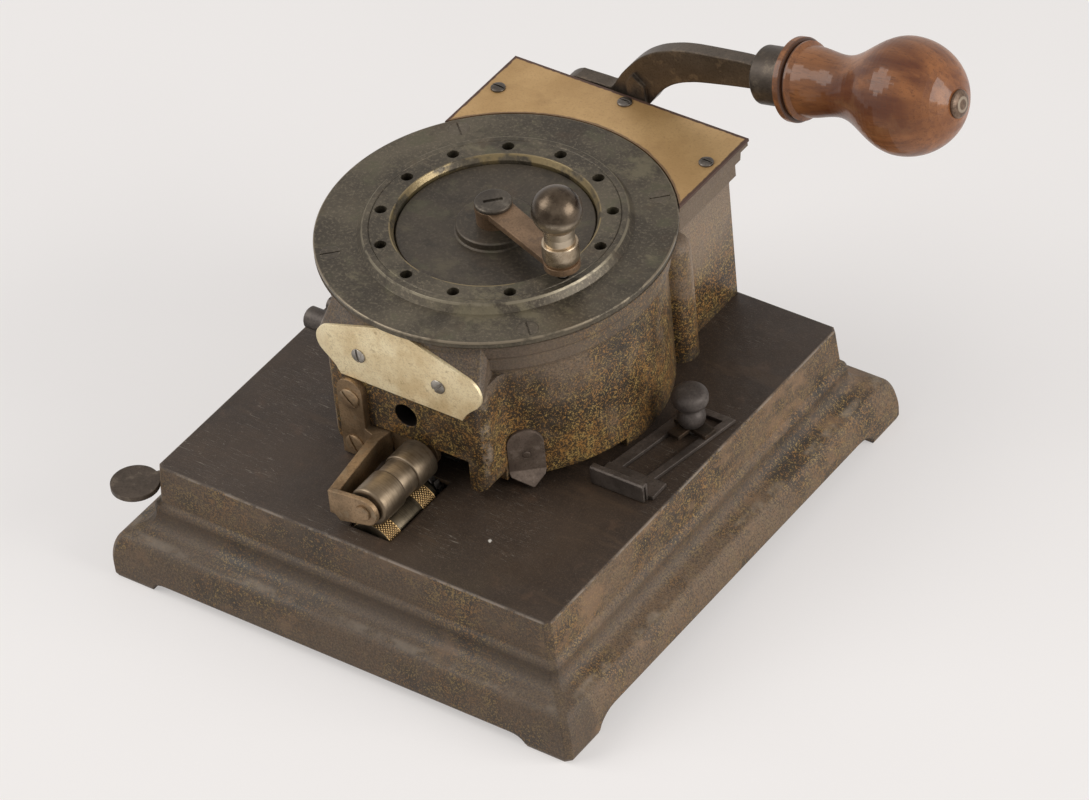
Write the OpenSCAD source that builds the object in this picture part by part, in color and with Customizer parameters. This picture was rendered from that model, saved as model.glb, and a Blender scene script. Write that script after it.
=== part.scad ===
// Desk check writer: a japanned cast base and head, an index dial with a crank on top, a press
// lever with a turned wooden handle at the right, and a pair of feed rollers at the front.
// Millimetres. The origin lies on the table under the middle of the base's flat top, +X runs to the
// right along the front, +Y to the rear and +Z up.

/* [Base] */
// Width of the base's flat top, left to right
base_w = 178; // [176:1:190]
// Depth of the base's flat top, front to rear
base_d = 192; // [192:1:206]
// Height of the flat top above the table
base_h = 48.6; // [46:0.2:54]
// Thickness of the flat top
base_plate_t = 4; // [3.6:0.1:5]
// Thickness of the base's upper walls
base_wall_t = 5; // [4:0.5:6]
// Length of each bracket foot along the base's sides
foot_len = 18; // [12:1:30]

/* [Head] */
// Radius of the drum's outer wall
drum_r = 62.1; // [62:0.1:63]
// Height of the head casting above the base, up to the seat of the index ring
head_h = 69.5; // [69:0.5:74]
// Gap between the front of the drum and the base, where the check passes
throat_gap = 3.6; // [3.4:0.1:4.4]
// Wall thickness of the head casting
head_wall_t = 5.6; // [5:0.1:6]
// Width of the square housing behind the drum
housing_w = 94.4; // [92:0.4:98]
// Distance of the housing's rear wall from the drum's axis
housing_back = 83.1; // [83:0.1:84]
// Distance of the nose's front face from the drum's axis
nose_reach = 64.1; // [64:0.1:65]

/* [Index dial] */
// Radius of the flat index ring
ring_r = 67.9; // [67.5:0.1:69]
// Number of index holes and of punches
index_count = 13; // [10:1:14]
// Radius of the circle of index holes
index_r = 43.7; // [43.4:0.1:44]
// Diameter of an index hole
index_hole_d = 4.7; // [4.7:0.1:5]
// Radius of the turning dial disc
dial_r = 37.4; // [36:0.1:37.5]
// Diameter of the crank's ball knob
ball_d = 18.9; // [17.4:0.1:20]

/* [Press lever] */
// Distance of the lever's pivot to the left of the head's centre
pivot_left = 22.4; // [22:0.1:23]
// Height of the pivot below the top of the index ring
pivot_drop = 14.1; // [14:0.1:14.4]
// Thickness of the lever
lever_t = 6; // [5:0.5:6]
// Radius of the lever's hub
lever_hub_r = 13.4; // [12:0.1:14]
// Angle of the handle above level
handle_tilt = 11.75; // [8:0.25:16]
// Largest diameter of the wooden handle
bulb_d = 44.4; // [38:0.2:46]
// Length of the handle with its ferrule
handle_len = 86.5; // [84:0.5:92]

/* [Feed rollers] */
// Distance of the rollers' axes to the right of the base's centre
roller_x = 3.6; // [3:0.1:4]
// Radius of the lower, driven feed roller
feed_r = 10.25; // [10:0.05:10.3]
// Radius of the upper, pressing roller
press_r = 8.1; // [7.8:0.05:8.2]
// Gap between the two rollers
nip_gap = 0.3; // [0.3:0.05:0.5]
// Number of teeth of the ratchet wheel
ratchet_teeth = 18; // [12:1:24]

/* [Check gauge] */
// Width of the gauge's upright front flange
gauge_w = 23.5; // [20:0.5:24]
// Skew of the gauge's rails from the front-to-rear direction
gauge_skew = 10; // [8:0.5:11]
// Diameter of the thumbscrew's head
thumb_d = 14.2; // [12:0.1:15]

/* [Fits] */
// Radial clearance of a turning or sliding fit
run_fit = 0.05; // [0.03:0.01:0.08]
// Gap between flat sliding faces
slide_gap = 0.15; // [0.1:0.05:0.3]

/* [Hidden] */
$fn = 96;
small_fn = 40;
far = 400;
eps = 0.01;

// Levels
plate_z = base_h - base_plate_t;
throat_z = base_h + throat_gap;
cast_z = base_h + head_h;
ring_t = 3;
ring_z = cast_z + ring_t;
cover_t = 1.2;
web_z = cast_z - 3.1;
annulus_z = ring_z + 3.2;
boss_z = ring_z + 2.9;
arm_z = boss_z + 7.6;
arm_t = 2.6;

// Head plan
head_x = -2.6;
head_y = 12.1;
nose_y = head_y - nose_reach;
rear_y = head_y + housing_back;
cavity_r = drum_r - head_wall_t;
cavity_w = housing_w - 2 * head_wall_t;
station_y = head_y - index_r;
column_x = housing_w / 2 + 0.9;
column_y = 55.5;
column_r = 6.8;
standing_y = 0;

// Nose front: the upper part has the nameplate's outline, the lower part stands on two short legs
shoulder_r = 7.7;
shoulder_x = 29.5;
shoulder_z = cast_z - 17.6;
name_foot_x = 27.6;
name_foot_z = cast_z - 31.6;
name_tip_x = 3;
name_tip_z = cast_z - 0.6;
rake_angle = 71.4;
name_t = 1.3;
nose_half = 35.8;
nose_corner_r = 4;
nose_fillet_r = 5;
nose_foot_r = 7;
arch_left = -15.9;
arch_right = 27.1;
arch_z = base_h + 16.8;
oil_hole_r = 5;
oil_hole_z = cast_z - 41.6;

// Fasteners
bolt_r = 2.5;
bolt_len = 24;
bolt_boss_h = 6;
bolt_boss_r = 7;
bolt_lug_r = 5.5;
bolt_lug_h = 22;
bolt_front_r = 56;
bolt_front_a = 12;
bolt_rear_x = 39;
bolt_rear_y = 86;
ring_screw_r = 62;
ring_screw_a = [-44, 45, 138, 224];

// Index dial
index_step = 360 / index_count;
first_hole_a = 35.4;
crank_a = first_hole_a - 2 * index_step;
spindle_r = 5;
pin_r = 2.05;
pin_lift = 0.4;
barrel_h = 8.8;
barrel_r = 7;
neck_r = 5.75;
ball_r = ball_d / 2;
ball_z = arm_z + 23;
pin_top = 16.5;
knob_pull = 3.5;
dial_boss_r = 14.8;
crank_head_r = 7.1;
crank_head_h = 1.6;
slot_a = 45;

// Punch train
wheel_z = throat_z + 4.8;
wheel_t = 6;
wheel_r = index_r + 5.3;
punch_r = 2;
punch_top = wheel_z + 10;
stroke = 9;
plunger_r = 4;
plunger_bottom = punch_top + stroke;
guide_z = plunger_bottom + 1;
guide_t = 8;
pad_r = 4;
pad_gap = 0.4;
hammer_hub_r = 7;

// Press lever
pivot_x = head_x - pivot_left;
pivot_z = ring_z - pivot_drop;
plunger_top = pivot_z - pad_r - pad_gap;
plunger_head_h = 4;
plunger_head_r = 6.5;
shaft_r = 5;
bush_r = 7;
bush_end_y = rear_y + 8;
lever_y = bush_end_y + 0.4;
front_bush_y = head_y - 51.9;
hammer_y = station_y;
handle_root_x = 82;
handle_root_z = 43;
bar_half = 5.3;
rod_r = 3;
tenon_r = 2.2;
tenon_len = 8;
ferrule_len = 13.5;
ferrule_r = 11.2;

// Feed rollers
inner_front_y = -base_d / 2 + base_wall_t;
nip_z = throat_z + 0.15;
feed_z = nip_z - nip_gap / 2 - feed_r;
press_z = nip_z + nip_gap / 2 + press_r;
slot_y0 = inner_front_y + 3.2;
slot_y1 = nose_y + 2.5;
slot_half_top = 8.6;
slot_half_low = 11.4;
roller_y0 = slot_y0 + 0.8;
roller_len = nose_y - 2 - roller_y0;
journal_r = 2.5;
front_bearing_y = slot_y0 - 0.4;
rear_bearing_y = nose_y + 5;
rear_bearing_t = 6;
front_ear_x = 16.5;
rear_ear_x = 11.4;
bearing_h = 6;
bearing_half = 20;
lug_left = 4.4;
ratchet_y = nose_y - 1.4;
ratchet_t = 2.9;
ratchet_r = 8.6;
pawl_dx = 19;
pawl_dz = -6.95;
tab_y = slot_y0 - 2.2;
tab_t = 2;
strap_x0 = -31.8;
strap_x1 = -20.2;
strap_t = 3;
strap_mid = (strap_x0 + strap_x1) / 2;

// Release lever, side button, pointer and gauge
release_z = base_h - 12.6;
release_x = -base_w / 2 + 14.3;
release_y = -base_d / 2 + 29.4;
release_len = 40;
release_a = 230.3;
button_y = -32.1;
button_z = cast_z - 31.8;
button_x = -60.5;
collar_x = head_x - 31.1;
button_r = 4.3;
pointer_a = -49.1;
pointer_half = 6.95;
pointer_seat = 0.4;
pointer_top = base_h + 25.4;
gauge_t = 1.5;
rail_len = 45;
gauge_z = base_h + slide_gap;
gauge_tuck = 1;
gauge_x = head_x + drum_r - gauge_tuck;
gauge_y = -24.2;
stud_x = gauge_x + 15.8;
stud_y = 19.8;
stud_r = 2.5;
clamp_z = gauge_z + gauge_t + slide_gap;
clamp_t = 1.6;
thumb_z = clamp_z + clamp_t + 0.1;

// Colours
japan = [0.23, 0.19, 0.13];
top_black = [0.15, 0.13, 0.12];
bronze = [0.45, 0.36, 0.24];
dark_bronze = [0.29, 0.27, 0.22];
brass = [0.72, 0.58, 0.37];
pale_brass = [0.85, 0.8, 0.6];
steel = [0.5, 0.5, 0.49];
dark_steel = [0.27, 0.26, 0.25];
copper_brown = [0.5, 0.33, 0.22];
worn_nickel = [0.72, 0.69, 0.61];
red_wood = [0.42, 0.15, 0.07];

// Points of an ellipse's arc
function arc(cx, cy, rx, ry, a0, a1, n) = [for (i = [0:n])
    let (a = a0 + (a1 - a0) * i / n) [cx + rx * cos(a), cy + ry * sin(a)]];
function flipped(pts) = [for (i = [len(pts) - 1:-1:0]) [-pts[i][0], pts[i][1]]];
function ease(t) = (1 - cos(180 * t)) / 2;

// Smooth curve through the points, in n steps between neighbours
function smooth(p, n) = concat([for (i = [0:len(p) - 2], k = [0:n - 1]) let (t = k / n,
    a = p[max(i - 1, 0)], b = p[i], c = p[i + 1], d = p[min(i + 2, len(p) - 1)])
    b + ((c - a) * t + (2 * a - 5 * b + 4 * c - d) * pow(t, 2)
        + (3 * (b - c) + d - a) * pow(t, 3)) / 2], [p[len(p) - 1]]);

// Mouldings as [overhang, drop] pairs from the top down
base_profile = concat([[-0.3, 0], [0.4, 0.7], [1.3, 16.6], [2.7, 18.2], [3.2, 19.4]],
    arc(10.4, 21.2, 7.2, 6.8, 180, 110, 8), arc(11, 43, 5.5, 14, -78, 0, 9),
    [[16.4, 46.8], [15.6, base_h]]);
base_hollow = [[-base_wall_t, base_plate_t], [-base_wall_t, 21], [4, 29.5], [10.5, 34.5],
    [10.5, base_h + 1]];
corner_cut = 1.5;
cornice_band = concat([[5.8, 0.2]], arc(5.8, 2.4, 2, 2.2, -90, -180, 5), [[3.5, 6.4], [2, 8], [2, 13.4]],
    arc(2, 16.8, 2, 3.4, -90, -180, 5));

// Section of a moulded block of the given width, from its [overhang, drop] pairs below top
function block_section(w, top, pairs) = let (right = [for (p = pairs) [w / 2 + p[0], top - p[1]]])
    concat(right, flipped(right));

// Block with the same moulding on all four sides, mitred at the corners
module moulded_block(w, d, top, pairs) {
    intersection() {
        rotate([90, 0, 0])
            linear_extrude(height = far, center = true)
                polygon(block_section(w, top, pairs));
        rotate([90, 0, 90])
            linear_extrude(height = far, center = true)
                polygon(block_section(d, top, pairs));
    }
}

// Flat link: one outline of two round ends and their common tangents
module link2d(p1, r1, p2, r2) {
    v = p2 - p1;
    a = atan2(v[1], v[0]);
    b = acos((r1 - r2) / norm(v));
    polygon(concat(arc(p2[0], p2[1], r2, r2, a - b, a + b, 30),
        arc(p1[0], p1[1], r1, r1, a + b, a + 360 - b, 36)));
}

// Outline in x and z, made solid from y0 to y1
module upright(y0, y1) {
    translate([0, y1, 0])
        rotate([90, 0, 0])
            linear_extrude(height = y1 - y0)
                children();
}

// Cylinder along Y from y0 to y1
module rod_y(x, z, r, y0, y1) {
    translate([x, y1, z])
        rotate([90, 0, 0])
            cylinder(r = r, h = y1 - y0);
}

// Slotted screw that hangs down from the origin plane; a raised head stands above it
module flush_screw(r, head_r, head_t, length) {
    difference() {
        union() {
            translate([0, 0, -head_t]) cylinder(r1 = r, r2 = head_r, h = head_t, $fn = small_fn);
            translate([0, 0, -length]) cylinder(r = r, h = length - head_t + eps, $fn = small_fn);
        }
        translate([-head_r - 1, -0.3, -0.5]) cube([2 * head_r + 2, 0.6, 2]);
    }
}

module flush_hole(r, head_r, head_t, length) {
    translate([0, 0, -head_t])
        cylinder(r1 = r + run_fit, r2 = head_r + run_fit, h = head_t + eps, $fn = small_fn);
    translate([0, 0, -length - 1]) cylinder(r = r + run_fit, h = length + 1, $fn = small_fn);
}

module raised_screw(r, head_r, head_t, length) {
    difference() {
        union() {
            rotate_extrude($fn = small_fn)
                polygon(concat([[0, 0], [head_r, 0], [head_r, head_t * 0.4]],
                    arc(0, head_t * 0.4, head_r, head_t * 0.6, 15, 90, 6)));
            translate([0, 0, -length]) cylinder(r = r, h = length + eps, $fn = small_fn);
        }
        translate([-head_r - 1, -0.45, head_t - 0.9]) cube([2 * head_r + 2, 0.9, 2]);
    }
}

module screw_hole(r, length) {
    translate([0, 0, -length]) cylinder(r = r + run_fit, h = length + 1, $fn = small_fn);
}

// Places
module at_head() {
    translate([head_x, head_y, 0]) children();
}

module at_bolts() {
    for (s = [-1, 1]) {
        translate([head_x + s * bolt_front_r * cos(bolt_front_a),
            head_y + bolt_front_r * sin(bolt_front_a), 0]) children();
        translate([head_x + s * bolt_rear_x, bolt_rear_y, 0]) children();
    }
}

module at_ring_screws() {
    at_head() for (a = ring_screw_a) rotate(a) translate([ring_screw_r, 0, ring_z]) children();
}

module at_cover_screws() {
    for (s = [-1, 1]) translate([head_x + s * (housing_w / 2 + 0.3), rear_y - 13.8, ring_z]) children();
    translate([head_x, rear_y + 2, ring_z]) children();
}

// Turns a screw's -Z so that it points to the rear, into a front face
module into_front(x, y, z) {
    translate([x, y, z]) rotate([90, 0, 0]) children();
}

module at_name_screws() {
    for (q = [[-18, 100], [18, 45]]) into_front(head_x + q[0], nose_y - name_t, shoulder_z - 1.7)
        rotate(q[1]) children();
}

module at_strap_screws() {
    for (q = [[6.5, 118], [28.8, 135]]) into_front(strap_mid, nose_y - strap_t, base_h + q[0])
        rotate(q[1]) children();
}

module at_die_screws() {
    for (s = [-1, 1]) translate([head_x + s * 7.4, station_y, base_h]) children();
}

module at_bearing_screws() {
    for (s = [-1, 1], q = [[front_ear_x, inner_front_y + 4],
        [rear_ear_x, rear_bearing_y + rear_bearing_t / 2]])
        translate([roller_x + s * q[0], q[1], plate_z - bearing_h]) rotate([180, 0, 0]) children();
}

module at_guide_screws() {
    for (s = [-1, 1]) translate([head_x + s * 11, guide_face_y() + 2.9, guide_z + 12])
        rotate([-90, 0, 0]) children();
}

function guide_face_y() = head_y - cavity_r + 2.9;

module at_pointer() {
    at_head() rotate(pointer_a) translate([drum_r - pointer_seat, 0, 0]) children();
}

module on_handle() {
    translate([pivot_x + handle_root_x, lever_y + lever_t / 2, pivot_z + handle_root_z])
        rotate([0, 90 - handle_tilt, 0])
            children();
}

module at_crank_foot() {
    at_head() rotate(crank_a) translate([index_r, 0, 0]) children();
}

// Base

module foot_gaps() {
    for (q = [[base_w, 0, 4.7, base_d], [base_d, 90, 7.5, base_w]]) {
        half = q[0] / 2 + 15 - foot_len;
        lift = q[2];
        rotate([90, 0, q[1]])
            linear_extrude(height = far, center = true)
                polygon(concat([[-half, -1], [half, -1]],
                    arc(half - lift * 1.4, 0, lift * 1.4, lift, 0, 90, 6),
                    flipped(arc(half - lift * 1.4, 0, lift * 1.4, lift, 0, 90, 6))));
    }
}

module roller_slot() {
    upright(slot_y0, slot_y1)
        polygon([[roller_x - slot_half_low, plate_z - eps], [roller_x + slot_half_low, plate_z - eps],
            [roller_x + slot_half_top, base_h + 1], [roller_x - slot_half_top, base_h + 1]]);
}

module bearing_pockets() {
    half = 8.4;
    for (y = [[inner_front_y, slot_y0 + eps], [slot_y1 - eps, rear_bearing_y + rear_bearing_t + 0.3]])
        translate([roller_x - half, y[0], plate_z - eps])
            cube([2 * half, y[1] - y[0], 2.1]);
}

// Moulded outside of the base, with narrow chamfers down its four corners
module base_block() {
    span = (base_w + base_d) / sqrt(2) - 2 * corner_cut;
    intersection() {
        moulded_block(base_w, base_d, base_h, base_profile);
        rotate(45) moulded_block(span, span, base_h, [for (p = base_profile) [sqrt(2) * p[0], p[1]]]);
    }
}

module base_casting() {
    color(top_black)
        difference() {
            union() {
                difference() {
                    base_block();
                    moulded_block(base_w, base_d, base_h, base_hollow);
                }
                at_bolts() translate([0, 0, plate_z - bolt_boss_h])
                    cylinder(r = bolt_boss_r, h = bolt_boss_h + 1);
                translate([stud_x, stud_y, plate_z - 5]) cylinder(r = 6, h = 6);
                translate([release_x, release_y, plate_z - 3]) cylinder(r = 6, h = 4);
            }
            foot_gaps();
            roller_slot();
            bearing_pockets();
            at_bolts() translate([0, 0, plate_z - bolt_boss_h - 1])
                cylinder(r = bolt_r + 0.3, h = bolt_boss_h + base_plate_t + 2);
            translate([stud_x, stud_y, plate_z - 6]) cylinder(r = stud_r + run_fit, h = 12);
            translate([release_x, release_y, plate_z - 4]) cylinder(r = 2 + run_fit, h = 6, $fn = small_fn);
            translate([head_x - 11, station_y - 7, base_h - 2]) cube([22, 14, 3]);
            translate([head_x, station_y, plate_z - 1]) cylinder(r = 3.2, h = 6, $fn = small_fn);
            at_die_screws() screw_hole(1.5, base_plate_t + 0.4);
            at_bearing_screws() translate([0, 0, -6]) screw_hole(1.5, 3);
            translate([-base_w / 2 - 20, release_y - 25, release_z - 1.6])
                cube([20 + base_wall_t + 1, 21.4, 3.2]);
        }
}

module die_plate() {
    color(steel)
        difference() {
            translate([head_x - 10.9, station_y - 6.9, base_h - 2]) cube([21.8, 13.8, 2]);
            translate([head_x, station_y, base_h - 3]) cylinder(r = 2.3, h = 4, $fn = small_fn);
            at_die_screws() flush_hole(1.5, 2.9, 1.5, 4);
        }
}

module die_screws() {
    color(steel) at_die_screws() flush_screw(1.5, 2.9, 1.5, 3.9);
}

// Head casting

function name_half() = concat([[name_foot_x, name_foot_z], [name_foot_x + 1.8, name_foot_z + 3.2],
    [name_foot_x + 4.2, name_foot_z + 5.7]],
    arc(shoulder_x, shoulder_z, shoulder_r, shoulder_r, -50, rake_angle, 12),
    [[name_tip_x, name_tip_z]]);

module name_outline() {
    translate([head_x, 0]) polygon(concat(name_half(), flipped(name_half())));
}

module nose_elevation() {
    foot = arc(nose_half - nose_foot_r, throat_z + nose_foot_r, nose_foot_r, nose_foot_r, -90, 0, 8);
    top = shoulder_z + 1;
    translate([head_x, 0])
        difference() {
            polygon(concat(foot, [[nose_half, top], [-nose_half, top]], flipped(foot)));
            translate([arch_left, throat_z - 1]) square([arch_right - arch_left, arch_z - throat_z + 1]);
        }
}

// Right half of the nose in plan, from the front corner round the fillet into the drum
function nose_plan_half() = let (x = nose_half + nose_fillet_r, r = drum_r + nose_fillet_r,
    y = -sqrt(r * r - x * x), a = atan2(-y, -x)) concat(
    arc(nose_half - nose_corner_r, nose_corner_r - nose_reach, nose_corner_r, nose_corner_r, -90, 0, 8),
    arc(x, y, nose_fillet_r, nose_fillet_r, 180, a, 8), [[x + (nose_fillet_r + 4) * cos(a), -40],
    [20, -40]]);

module nose() {
    intersection() {
        union() {
            upright(nose_y, head_y - 38) nose_elevation();
            upright(head_y - 53.4, head_y - 38) translate([head_x - nose_half - 6, throat_z])
                square([2 * nose_half + 12, shoulder_z + 1 - throat_z]);
        }
        at_head()
            linear_extrude(height = shoulder_z + 1)
                polygon(concat(nose_plan_half(), flipped(nose_plan_half())));
    }
    hull() {
        upright(nose_y, nose_y + 0.6) name_outline();
        translate([head_x - 33, head_y - 57.1, shoulder_z - 5]) cube([66, 6, 21.5]);
    }
}

module drum() {
    band = [for (p = cornice_band) [drum_r + p[0], cast_z - p[1]]];
    at_head()
        rotate_extrude()
            polygon(concat([[0, base_h], [drum_r, base_h]],
                [for (i = [len(band) - 1:-1:0]) band[i]], [[drum_r + 5.8, cast_z], [0, cast_z]]));
}

module housing() {
    depth = 2 * (housing_back - 38);
    top = ring_z - cover_t;
    pairs = concat([[5.8, 0]], [for (p = cornice_band) [p[0], p[1] + top - cast_z]], [[0, top - base_h]]);
    translate([head_x, rear_y - depth / 2, 0]) moulded_block(housing_w, depth, top, pairs);
    for (s = [-1, 1]) translate([head_x + s * column_x, column_y, base_h]) {
        cylinder(r = column_r, h = head_h - 19.8);
        translate([0, 0, head_h - 19.8]) sphere(r = column_r);
    }
}

module head_hollow() {
    at_head() translate([0, 0, base_h - 1]) cylinder(r = cavity_r, h = web_z - base_h + 1);
    translate([head_x - cavity_w / 2, head_y + 30, base_h - 1])
        cube([cavity_w, housing_back - 30 - head_wall_t, web_z - base_h + 1]);
    at_head() translate([-far / 2, -far, base_h - 1])
        cube([far, far + standing_y - head_y, throat_gap + 1]);
    at_head() translate([0, 0, cast_z]) cylinder(r = ring_r + 0.2, h = 10);
    translate([head_x - nose_half, nose_y - 10, base_h]) cube([2 * nose_half, 10, head_h + 1]);
    translate([head_x + arch_left, nose_y - 1, throat_z - 1])
        cube([arch_right - arch_left, nose_reach - 49, arch_z - throat_z + 1]);
}

module head_bosses() {
    at_bolts() translate([0, 0, base_h]) cylinder(r = bolt_lug_r, h = bolt_lug_h);
    at_head() translate([0, 0, web_z - 18]) cylinder(r = 11, h = 18.5);
    rod_y(pivot_x, pivot_z, 9, rear_y - head_wall_t, bush_end_y);
    translate([head_x - 15, nose_y + 2, guide_z - 6])
        cube([30, guide_face_y() - nose_y - 2, 24]);
}

module head_bores() {
    at_bolts() translate([0, 0, base_h - 1]) cylinder(r = bolt_r + run_fit, h = bolt_len - 8);
    at_head() translate([0, 0, web_z - 19]) cylinder(r = bush_r + run_fit + 0.5, h = 30);
    rod_y(pivot_x, pivot_z, bush_r + run_fit, rear_y - head_wall_t - 1, bush_end_y + 1);
    rod_y(pivot_x, pivot_z, bush_r + run_fit, front_bush_y - 6.4, front_bush_y + 6);
    into_front(head_x, nose_y - 1, oil_hole_z) mirror([0, 0, 1]) cylinder(r = oil_hole_r, h = 30);
    at_ring_screws() screw_hole(2, 11);
    at_cover_screws() screw_hole(1.3, 6.2);
    at_name_screws() screw_hole(1.5, 7.5);
    at_strap_screws() screw_hole(1.9, 12);
    at_pointer() translate([0, 0, base_h + 14]) rotate([0, 90, 0]) screw_hole(1.6, 5);
    at_pointer() rotate([90, 0, 90]) linear_extrude(height = nose_fillet_r + 3)
        offset(r = slide_gap) pointer_outline(base_h);
    at_guide_screws() screw_hole(1.4, 8);
    translate([button_x - 2, button_y, button_z]) rotate([0, 90, 0])
        cylinder(r = button_r + run_fit, h = collar_x - button_x + 4);
    translate([collar_x - 0.3, button_y, button_z]) rotate([0, 90, 0]) cylinder(r = 7.2, h = 14);
    translate([head_x - 56, button_y + 10, button_z]) rotate([0, 90, 0])
        cylinder(r = 2 + run_fit, h = 16, $fn = small_fn);
}

module head_casting() {
    color(japan)
        difference() {
            union() {
                difference() {
                    union() {
                        drum();
                        housing();
                        nose();
                    }
                    head_hollow();
                }
                head_bosses();
            }
            head_bores();
        }
}

module head_bolts() {
    color(steel)
        at_bolts() translate([0, 0, plate_z - bolt_boss_h]) {
            translate([0, 0, -3.5]) cylinder(r = 4.8, h = 3.5, $fn = 6);
            translate([0, 0, -eps]) cylinder(r = bolt_r, h = bolt_len);
        }
}

// Index ring with its raised circle of holes, and the plates on top and in front

module index_ring() {
    color(dark_bronze)
        difference() {
            at_head()
                rotate_extrude()
                    polygon([[dial_r + 0.5, cast_z], [ring_r - 0.3, cast_z], [ring_r - 0.3, ring_z - 1.2],
                        [ring_r, ring_z - 1.1], [ring_r, ring_z - 0.3], [ring_r - 0.3, ring_z],
                        [index_r + 8, ring_z], [index_r + 5.8, annulus_z], [index_r + 3.6, annulus_z],
                        [index_r + 3.3, annulus_z - 0.4], [index_r + 3, annulus_z],
                        [index_r - 4.6, annulus_z], [dial_r + 0.5, ring_z + 1]]);
            at_head() for (i = [0:index_count - 1]) rotate(first_hole_a - i * index_step)
                translate([index_r, 0, cast_z + 1]) cylinder(r = index_hole_d / 2, h = 10, $fn = small_fn);
            at_ring_screws() flush_hole(2, 4, 2, 4);
        }
}

module ring_screws() {
    color(steel) at_ring_screws() flush_screw(2, 4, 2, 9.5);
}

module top_plate() {
    color(brass)
        difference() {
            translate([head_x - housing_w / 2 - 6.2, head_y + 30, ring_z - cover_t])
                cube([housing_w + 12.4, housing_back - 30 + 6.2, cover_t]);
            at_head() translate([0, 0, ring_z - 5]) cylinder(r = ring_r + 0.4, h = 10);
            at_cover_screws() screw_hole(1.3, 4);
        }
}

module top_plate_screws() {
    color(steel) at_cover_screws() raised_screw(1.3, 2.9, 1.3, 5.5);
}

module nameplate() {
    color(pale_brass)
        difference() {
            upright(nose_y - name_t, nose_y) name_outline();
            at_name_screws() screw_hole(1.5, 4);
        }
}

module nameplate_screws() {
    color(steel) at_name_screws() raised_screw(1.5, 3, 1, 6.5);
}

// Bracket of the upper roller: strap on the nose, arm forward, a tab at each end of the roller

module tab_outline() {
    left = -12.2;
    translate([roller_x, press_z]) circle(r = 5.8);
    polygon([[left, press_z + 4.1], [roller_x - 1.2, press_z + 5.7], [roller_x + 1.4, press_z - 5.6],
        [-7.9, press_z - 8.7], [-10.8, press_z - 5.4]]);
}

module roller_bracket() {
    top_z = base_h + 37.4;
    round_r = (strap_x1 - strap_x0) / 2;
    arm_low = press_z - 6.4;
    arm_high = press_z + 4.1;
    root_x = head_x + arch_left + 0.6;
    color(bronze)
        difference() {
            union() {
                upright(nose_y - strap_t, nose_y) {
                    translate([strap_x0, base_h + 1]) square([2 * round_r, top_z - round_r - base_h - 1]);
                    translate([strap_mid, top_z - round_r]) circle(r = round_r);
                }
                translate([0, 0, arm_low])
                    linear_extrude(height = arm_high - arm_low)
                        polygon([[strap_x1 - 1, nose_y], [strap_x1 - 1, nose_y - strap_t],
                            [-16.6, nose_y - strap_t - 1.4], [-12.2, tab_y + eps], [-8.2, tab_y + eps],
                            [-12.3, nose_y - 5], [-11.4, nose_y], [-11.4, nose_y + 3],
                            [root_x, nose_y + 3], [root_x, nose_y]]);
                upright(tab_y, tab_y + tab_t) tab_outline();
                upright(nose_y + 1, nose_y + 3) tab_outline();
            }
            rod_y(roller_x, press_z, 3 + run_fit, tab_y - 1, nose_y + 5);
            at_strap_screws() screw_hole(1.9, 5);
            translate([root_x - 1, nose_y + eps, arch_z - 0.3]) cube([40, 6, 5]);
        }
}

module bracket_screws() {
    color(steel) at_strap_screws() raised_screw(1.9, 4.3, 1.2, 10);
}

// Line pointer: a tab on the drum whose lower end is bent outwards to a point

module pointer_outline(low) {
    translate([-pointer_half, low]) square([2 * pointer_half, pointer_top - pointer_half - low]);
    translate([0, pointer_top - pointer_half]) circle(r = pointer_half);
}

module line_pointer() {
    half = pointer_half;
    bend = base_h + 6.8;
    t = 1.5;
    color(dark_steel)
        at_pointer()
            difference() {
                union() {
                    rotate([90, 0, 90]) linear_extrude(height = t) pointer_outline(bend);
                    hull() {
                        translate([0, -half, bend - eps]) cube([t, 2 * half, 0.1]);
                        translate([1.2, -half + 0.6, bend - 1.8]) cube([t, 2 * half - 1.2, 0.1]);
                        translate([4, 1.2, base_h + 1]) cube([t * 0.6, 0.6, 0.2]);
                    }
                }
                translate([t, 0, base_h + 14]) rotate([0, 90, 0]) screw_hole(1.6, 4);
            }
}

module pointer_rivet() {
    color(dark_steel) at_pointer() translate([-3.4, 0, base_h + 14]) rotate([0, 90, 0])
        rotate_extrude($fn = small_fn)
            polygon(concat([[0, 0], [1.6, 0], [1.6, 4.9]], arc(0, 4.9, 1.6, 0.3, 10, 90, 4)));
}

// Feed roller bearings under the base

module front_bearing() {
    color(dark_steel)
        difference() {
            union() {
                translate([roller_x - bearing_half, inner_front_y, plate_z - bearing_h])
                    cube([2 * bearing_half, front_bearing_y - inner_front_y, bearing_h]);
                for (s = [-1, 1])
                    translate([roller_x + s * front_ear_x - 3.5, inner_front_y, plate_z - bearing_h])
                        cube([7, 8, bearing_h]);
                translate([roller_x - 8, inner_front_y, plate_z - bearing_h - 3])
                    cube([16, front_bearing_y - inner_front_y, bearing_h + 5]);
            }
            rod_y(roller_x, feed_z, journal_r + run_fit, inner_front_y - 1, front_bearing_y + 1);
            at_bearing_screws() screw_hole(1.5, 8);
        }
}

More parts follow.
